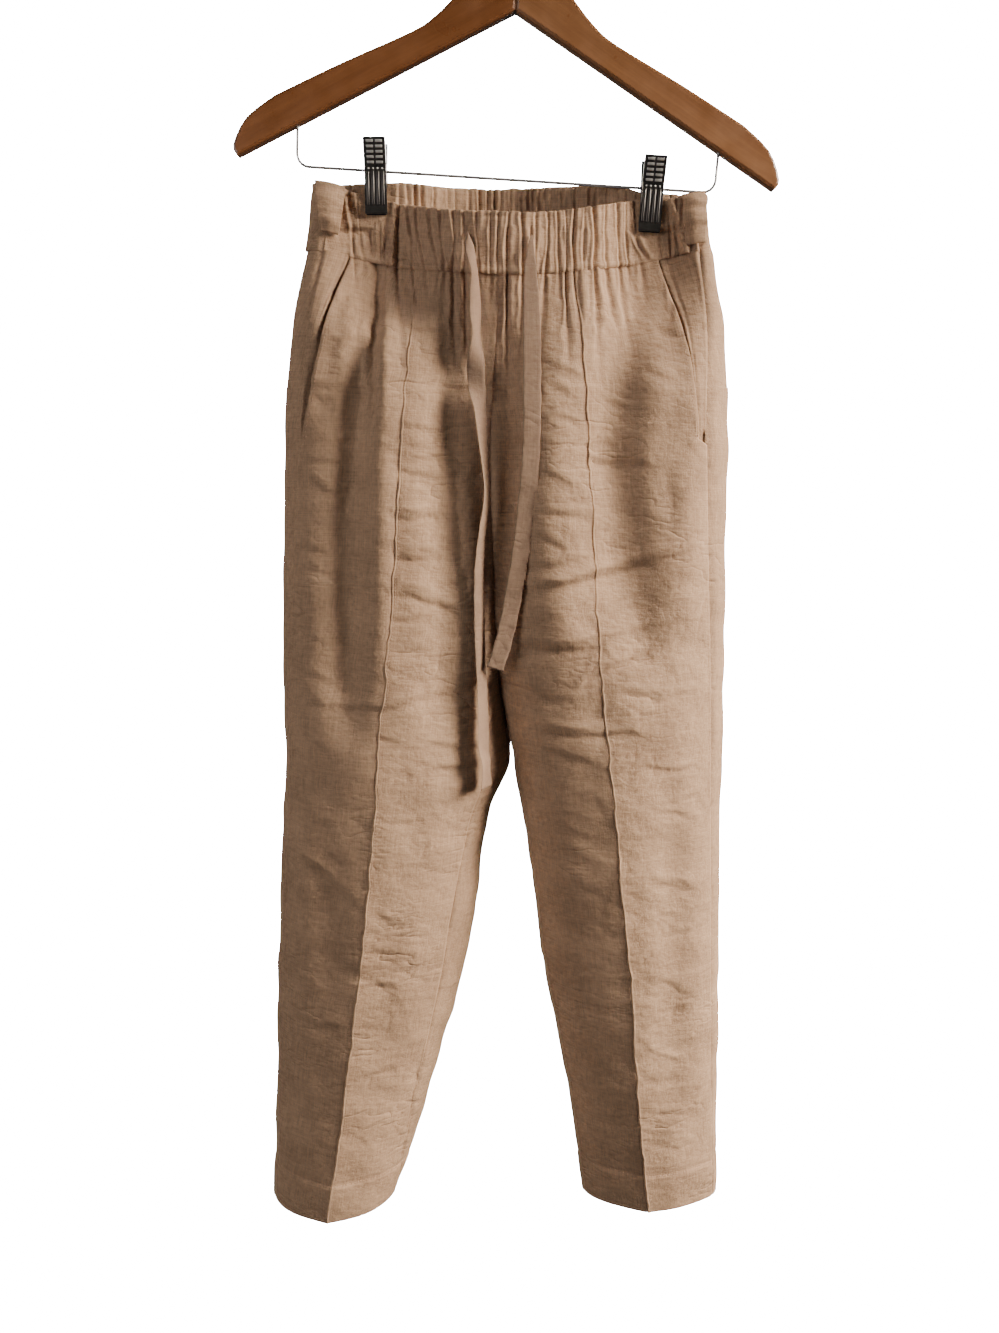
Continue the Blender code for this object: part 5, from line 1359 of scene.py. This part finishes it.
def stitch_line(body, places, normals, pitch=STITCH_PITCH):
    """Add a row of stitches to a bmesh, along a line of places on a surface."""
    steps = np.linalg.norm(np.diff(places, axis=0), axis=-1)
    run = np.concatenate([[0.0], np.cumsum(steps)])
    for middle in np.arange(pitch * 0.5, run[-1] - pitch * 0.4, pitch):
        ends = [Vector([np.interp(middle + off, run, places[:, k]) for k in range(3)])
                for off in (-STITCH_LONG * 0.5, STITCH_LONG * 0.5)]
        out = Vector([np.interp(middle, run, normals[:, k]) for k in range(3)]).normalized()
        along = (ends[1] - ends[0]).normalized()
        wide = out.cross(along).normalized()
        spot = (ends[0] + ends[1]) * 0.5 + out * STITCH_LIFT
        place = Matrix.Translation(spot) @ Matrix((along, wide, out)).transposed().to_4x4()
        halves = (STITCH_LONG * 0.5, STITCH_HALF, STITCH_HALF * 1.1, 1.0)
        bmesh.ops.create_icosphere(body, subdivisions=1, radius=1.0,
                                   matrix=place @ Matrix.Diagonal(halves))


def row_near(height):
    """The panels' row that lies nearest to a height."""
    return int(np.argmin(np.abs(PANEL_ROWS - height)))


sewn = bmesh.new()
hem_row, mouth_row, foot_row = [row_near(height)
                                for height in (HEM_STITCH, WAIST_SEAM - 0.004, POCKET_FOOT)]
for places, outs in (front_left, front_right, back_left, back_right):
    stitch_line(sewn, places[hem_row, 2:-2], outs[hem_row, 2:-2])
mouth_line = (slice(mouth_row, foot_row), MOUTH_STITCH)
tuck_line = (slice(6, hem_row), FLANK_COLUMNS + TUCK_COLUMNS - 1)
for places, outs in (front_left, front_right):
    stitch_line(sewn, places[mouth_line], outs[mouth_line])
    for k in range(TACK_ROWS):
        tack_row = foot_row - 1 + k // 2
        step_up = np.array([0.0, 0.0, TACK_APART * (k - TACK_ROWS // 2)])
        tack = places[tack_row, :TACK_COLUMNS] + step_up
        stitch_line(sewn, tack, outs[tack_row, :TACK_COLUMNS], TACK_PITCH)
    stitch_line(sewn, places[tuck_line], outs[tuck_line])
stitching = add_body("stitches", sewn, thread_cloth)
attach(stitching, "root")


# ---------------------------------------------------------------- hanger
# Two flat arms of lacquered brown wood, meeting in a joint under the neck, with a bright wire hook
# let in from above and a bright wire bar between them.
TILT = radians(3.4)
GLUE_HALVES, GLUE_Z = (0.0024, 0.0057, 0.0212), -0.0892     # the dark line where the arms meet
ARM_LEFT_FALL, ARM_RIGHT_FALL = radians(-26.0), radians(32.0)
BAR_BELOW = 0.230


def dress_node(name, material):
    """Give a CAD node a material in each of its slots."""
    for slot in bpy.data.objects[name].material_slots:
        slot.material = material


def wood(name, fall, dark, light):
    """Lacquered wood whose grain runs along an arm that falls by this angle."""
    material, place, shader = start_material(name, 0.34)
    shader.inputs["Coat Roughness"].default_value = 0.22
    x, y, z = place.part(0), place.part(1), place.part(2)
    along = x * cos(fall) - z * sin(fall)
    across = x * sin(fall) + z * cos(fall)

    def grain(long, wide, tall):
        """Coordinates stretched along the arm."""
        axes = {0: along * long, 1: y * wide, 2: across * tall}
        return place.node("ShaderNodeCombineXYZ", None, axes)

    figure = grain(5.0, 60.0, 70.0).noise(1.0, 4.0, 0.6)
    pores = grain(45.0, 900.0, 900.0).noise(1.0, 2.0, 0.6)
    mottle = place.noise(38.0, 3.0, 0.55)
    tone = ((figure - 0.5) * 1.1 + (pores - 0.5) * 0.35 + (mottle - 0.5) * 0.5 + 0.5).clamp()
    link(tone.tint(dark, light), shader, "Base Color")
    link(((mottle - 0.5) * 0.5 + 0.36).clamp(), shader, "Roughness")
    link(((figure - 0.5) * 0.2 + 0.3).clamp(), shader, "Coat Weight")
    uneven = place.noise(55.0, 2.0, 0.5).bump(0.0006, 0.5)
    link((pores * 0.5 + figure * 0.5).bump(0.00012, 0.5, uneven), shader, "Normal")
    return material


glue_line = bmesh.new()
glue_place = Matrix.Rotation(TILT, 4, "Y") @ Matrix.Translation((0.0, 0.0, GLUE_Z))
bmesh.ops.create_cube(glue_line, size=2.0, matrix=glue_place @ Matrix.Diagonal((*GLUE_HALVES, 1.0)))
glued_joint = wood("glued_joint", radians(90.0), (0.045, 0.017, 0.006), (0.120, 0.046, 0.016))
glue_piece = add_body("hanger_glue_line", glue_line, glued_joint, rounded=False)
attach(glue_piece, "root")
# Both arms are the same lacquered wood in two tones: the right arm's colours are lighter as painted
# light from the key on the right, and the left arm's colours are darker as painted shade.
dress_node("hanger_arm_left",
           wood("wood_left_painted_shade", ARM_LEFT_FALL, (0.110, 0.036, 0.009), (0.250, 0.094, 0.030)))
dress_node("hanger_arm_right",
           wood("wood_right_painted_light", ARM_RIGHT_FALL, (0.135, 0.050, 0.016), (0.330, 0.150, 0.062)))


def wire_metal(name, colour, rough, metallic=1.0):
    """Bright drawn wire with faint lengthwise scratches."""
    material, place, shader = start_material(name, rough, metallic)
    scuff = place.noise(420.0, 3.0, 0.6)
    link(scuff.tint([c * 0.8 for c in colour], colour), shader, "Base Color")
    link(((scuff - 0.5) * 0.25 + rough).clamp(), shader, "Roughness")
    link(scuff.bump(0.00005, 0.4), shader, "Normal")
    return material


bright_wire = wire_metal("bright_wire", (0.42, 0.41, 0.40), 0.32, 0.55)
dress_node("hanger_hook", bright_wire)
dress_node("hanger_bar", bright_wire)


# ---------------------------------------------------------------- clips
# Sprung clips of dark sheet steel. Each front jaw has turned side flanges, two columns of pressed
# bars for the thumb, a row of dots, and four ribs down to its rubber foot.
CLIPS = (("left", -0.1038, -TILT), ("right", 0.1166, 0.0))     # place along the bar, and turn
# Sizes in the clip's own frame, from the bar's middle. A block is its half sizes in X, Y and Z.
THUMB_OUT, THUMB_FOOT, THUMB_LEAN = 0.0055, 0.0016, 0.0064 / 0.0208
BAR_X, BAR_BLOCK = 0.0036, (0.0028, 0.0004, 0.0010)
BAR_ROWS = (0.0196, 0.0160, 0.0124, 0.0088, 0.0052)
DOT_PLACES, DOT_BLOCK = (-0.0054, -0.0018, 0.0018, 0.0054), (0.0007, 0.0004, 0.0007)
RIB_PLACES, RIB_BLOCK = (-0.0062, -0.0022, 0.0018, 0.0058), (0.0011, 0.0006, 0.0125)
DOTS_AT, RIBS_AT = (-0.0056, 0.0010), (-0.0054, -0.0135)    # their Y and Z
BAR_SOFT, RIB_SOFT = 0.0004, 0.0006         # how far their edges are rounded
FLANGE_X, FLANGE_HALF = 0.00845, 0.0003
# Y, Z, half sizes in Y and Z, and lean of the flanges on the jaw, on the thumb plate and behind.
FLANGES = (
    (-0.0034, -0.0040, 0.0026, 0.0095, 0.0),
    (-0.0068, 0.0120, 0.0022, 0.0085, THUMB_LEAN),
    (0.0034, -0.0040, 0.0026, 0.0095, 0.0),
)

dark_steel = wire_metal("dark_steel", (0.115, 0.105, 0.098), 0.36)
worn_steel = wire_metal("worn_steel", (0.62, 0.60, 0.57), 0.34, 0.6)
rubber, rubber_place, rubber_shader = start_material("rubber", 0.8)
rubber_grain = rubber_place.noise(700.0, 2.0, 0.5)
link(rubber_grain.tint((0.004, 0.004, 0.004), (0.010, 0.010, 0.010)), rubber_shader, "Base Color")
link(rubber_grain.bump(0.0001, 0.5), rubber_shader, "Normal")


def clip_place(along, angle):
    """Where a clip's own frame lies: on the bar of the swung hanger."""
    swung = Matrix.Rotation(TILT, 4, "Y") @ Matrix.Translation((along, 0.0, -BAR_BELOW))
    return swung @ Matrix.Rotation(angle, 4, "Y")


def pressed_blocks(name, blocks, frame_matrix, material, soften):
    """Small rounded blocks in one mesh, each a middle, half sizes and a lean about X."""
    body = bmesh.new()
    for middle, halves, lean in blocks:
        place = frame_matrix @ Matrix.Translation(middle) @ Matrix.Rotation(lean, 4, "X")
        made = bmesh.ops.create_cube(body, size=2.0, matrix=place @ Matrix.Diagonal((*halves, 1.0)))
        edges = {edge for vert in made["verts"] for edge in vert.link_edges}
        bmesh.ops.bevel(body, geom=list(edges), offset=min(min(halves) * 0.9, soften), segments=2,
                        profile=0.5, affect="EDGES", material=-1)
    piece = add_body(name, body, material)
    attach(piece, "root")


for word, along, angle in CLIPS:
    place = clip_place(along, angle)
    thumb = [((x, -THUMB_OUT - (z - THUMB_FOOT) * THUMB_LEAN, z), BAR_BLOCK, atan(THUMB_LEAN))
             for z in BAR_ROWS for x in (-BAR_X, BAR_X)]
    thumb += [((x, *DOTS_AT), DOT_BLOCK, 0.0) for x in DOT_PLACES]
    pressed_blocks(f"clip_{word}_thumb_bars", thumb, place, worn_steel, BAR_SOFT)
    ribs = [((x, *RIBS_AT), RIB_BLOCK, 0.0) for x in RIB_PLACES]
    ribs += [((end * FLANGE_X, y, z), (FLANGE_HALF, half_y, half_z), atan(lean))
             for y, z, half_y, half_z, lean in FLANGES for end in (-1, 1)]
    pressed_blocks(f"clip_{word}_ribs", ribs, place, dark_steel, RIB_SOFT)
    for node in (f"clip_{word}_front", f"clip_{word}_back"):
        dress_node(node, dark_steel)
        dress_node(f"{node}_pad", rubber)
    dress_node(f"clip_{word}_coil", bright_wire)


# ---------------------------------------------------------------- floor and light
# Plain pale floor and backdrop. A warm key stands low on the right in front, narrowed by a grid so
# that it rakes the cloth, with a weak fill on the left and a lamp behind for the back.
FLOOR_Z, BACK_Y = -1.75, 2.2
STAGE_HALF, STAGE_GLOW = 12.0, 40.0


def stage_plane(name, place, turn):
    """A plain pale board, seen but not adding to the light on the cloth."""
    board = bmesh.new()
    bmesh.ops.create_grid(board, x_segments=1, y_segments=1, size=STAGE_HALF,
                          matrix=Matrix.Translation(place) @ Matrix.Rotation(turn, 4, "X"))
    material, spot, shader = start_material(name, 0.9)
    pale = (spot.noise(0.6, 1.0) * 0.04 + 0.92).tint((0.0, 0.0, 0.0), (1.0, 1.0, 1.0))
    link(pale, shader, "Base Color")
    shader.inputs["Emission Color"].default_value = (1.0, 1.0, 1.0, 1.0)
    shader.inputs["Emission Strength"].default_value = STAGE_GLOW
    plane = add_body(name, board, material, rounded=False)
    plane.visible_diffuse = False
    plane.visible_glossy = False


stage_plane("floor", (0.0, BACK_Y - STAGE_HALF, FLOOR_Z), 0.0)
stage_plane("backdrop", (0.0, BACK_Y, FLOOR_Z + STAGE_HALF), pi / 2.0)

# Each lamp's name, place, aim, size, watts, colour, and spread in degrees.
LAMPS = (
    ("key", (2.45, -0.74, 0.50), (0.0, 0.0, -1.05), 1.2, 37.5, (1.0, 0.92, 0.81), 56.0),
    ("fill", (-2.0, -1.5, 0.0), (0.0, 0.0, -0.8), 1.6, 29.0, (1.0, 0.97, 0.95), 180.0),
    ("behind", (0.5, 2.1, 0.5), (0.0, 0.0, -0.65), 1.2, 95.0, (1.0, 0.95, 0.88), 180.0),
)
for name, place, aim, size, watts, colour, spread in LAMPS:
    lamp = bpy.data.lights.new(name, "AREA")
    lamp.shape = "DISK"
    lamp.size = size
    lamp.energy = watts
    lamp.color = colour
    lamp.spread = radians(spread)
    lit = bpy.data.objects.new(name, lamp)
    lit.location = place
    lit.rotation_euler = (Vector(aim) - Vector(place)).to_track_quat("-Z", "Y").to_euler()
    bpy.context.collection.objects.link(lit)

world = bpy.data.worlds.new("studio")
world.use_nodes = True
daylight = world.node_tree.nodes["Background"].inputs
daylight["Color"].default_value = (1.0, 1.0, 1.0, 1.0)
daylight["Strength"].default_value = 0.06
bpy.context.scene.world = world
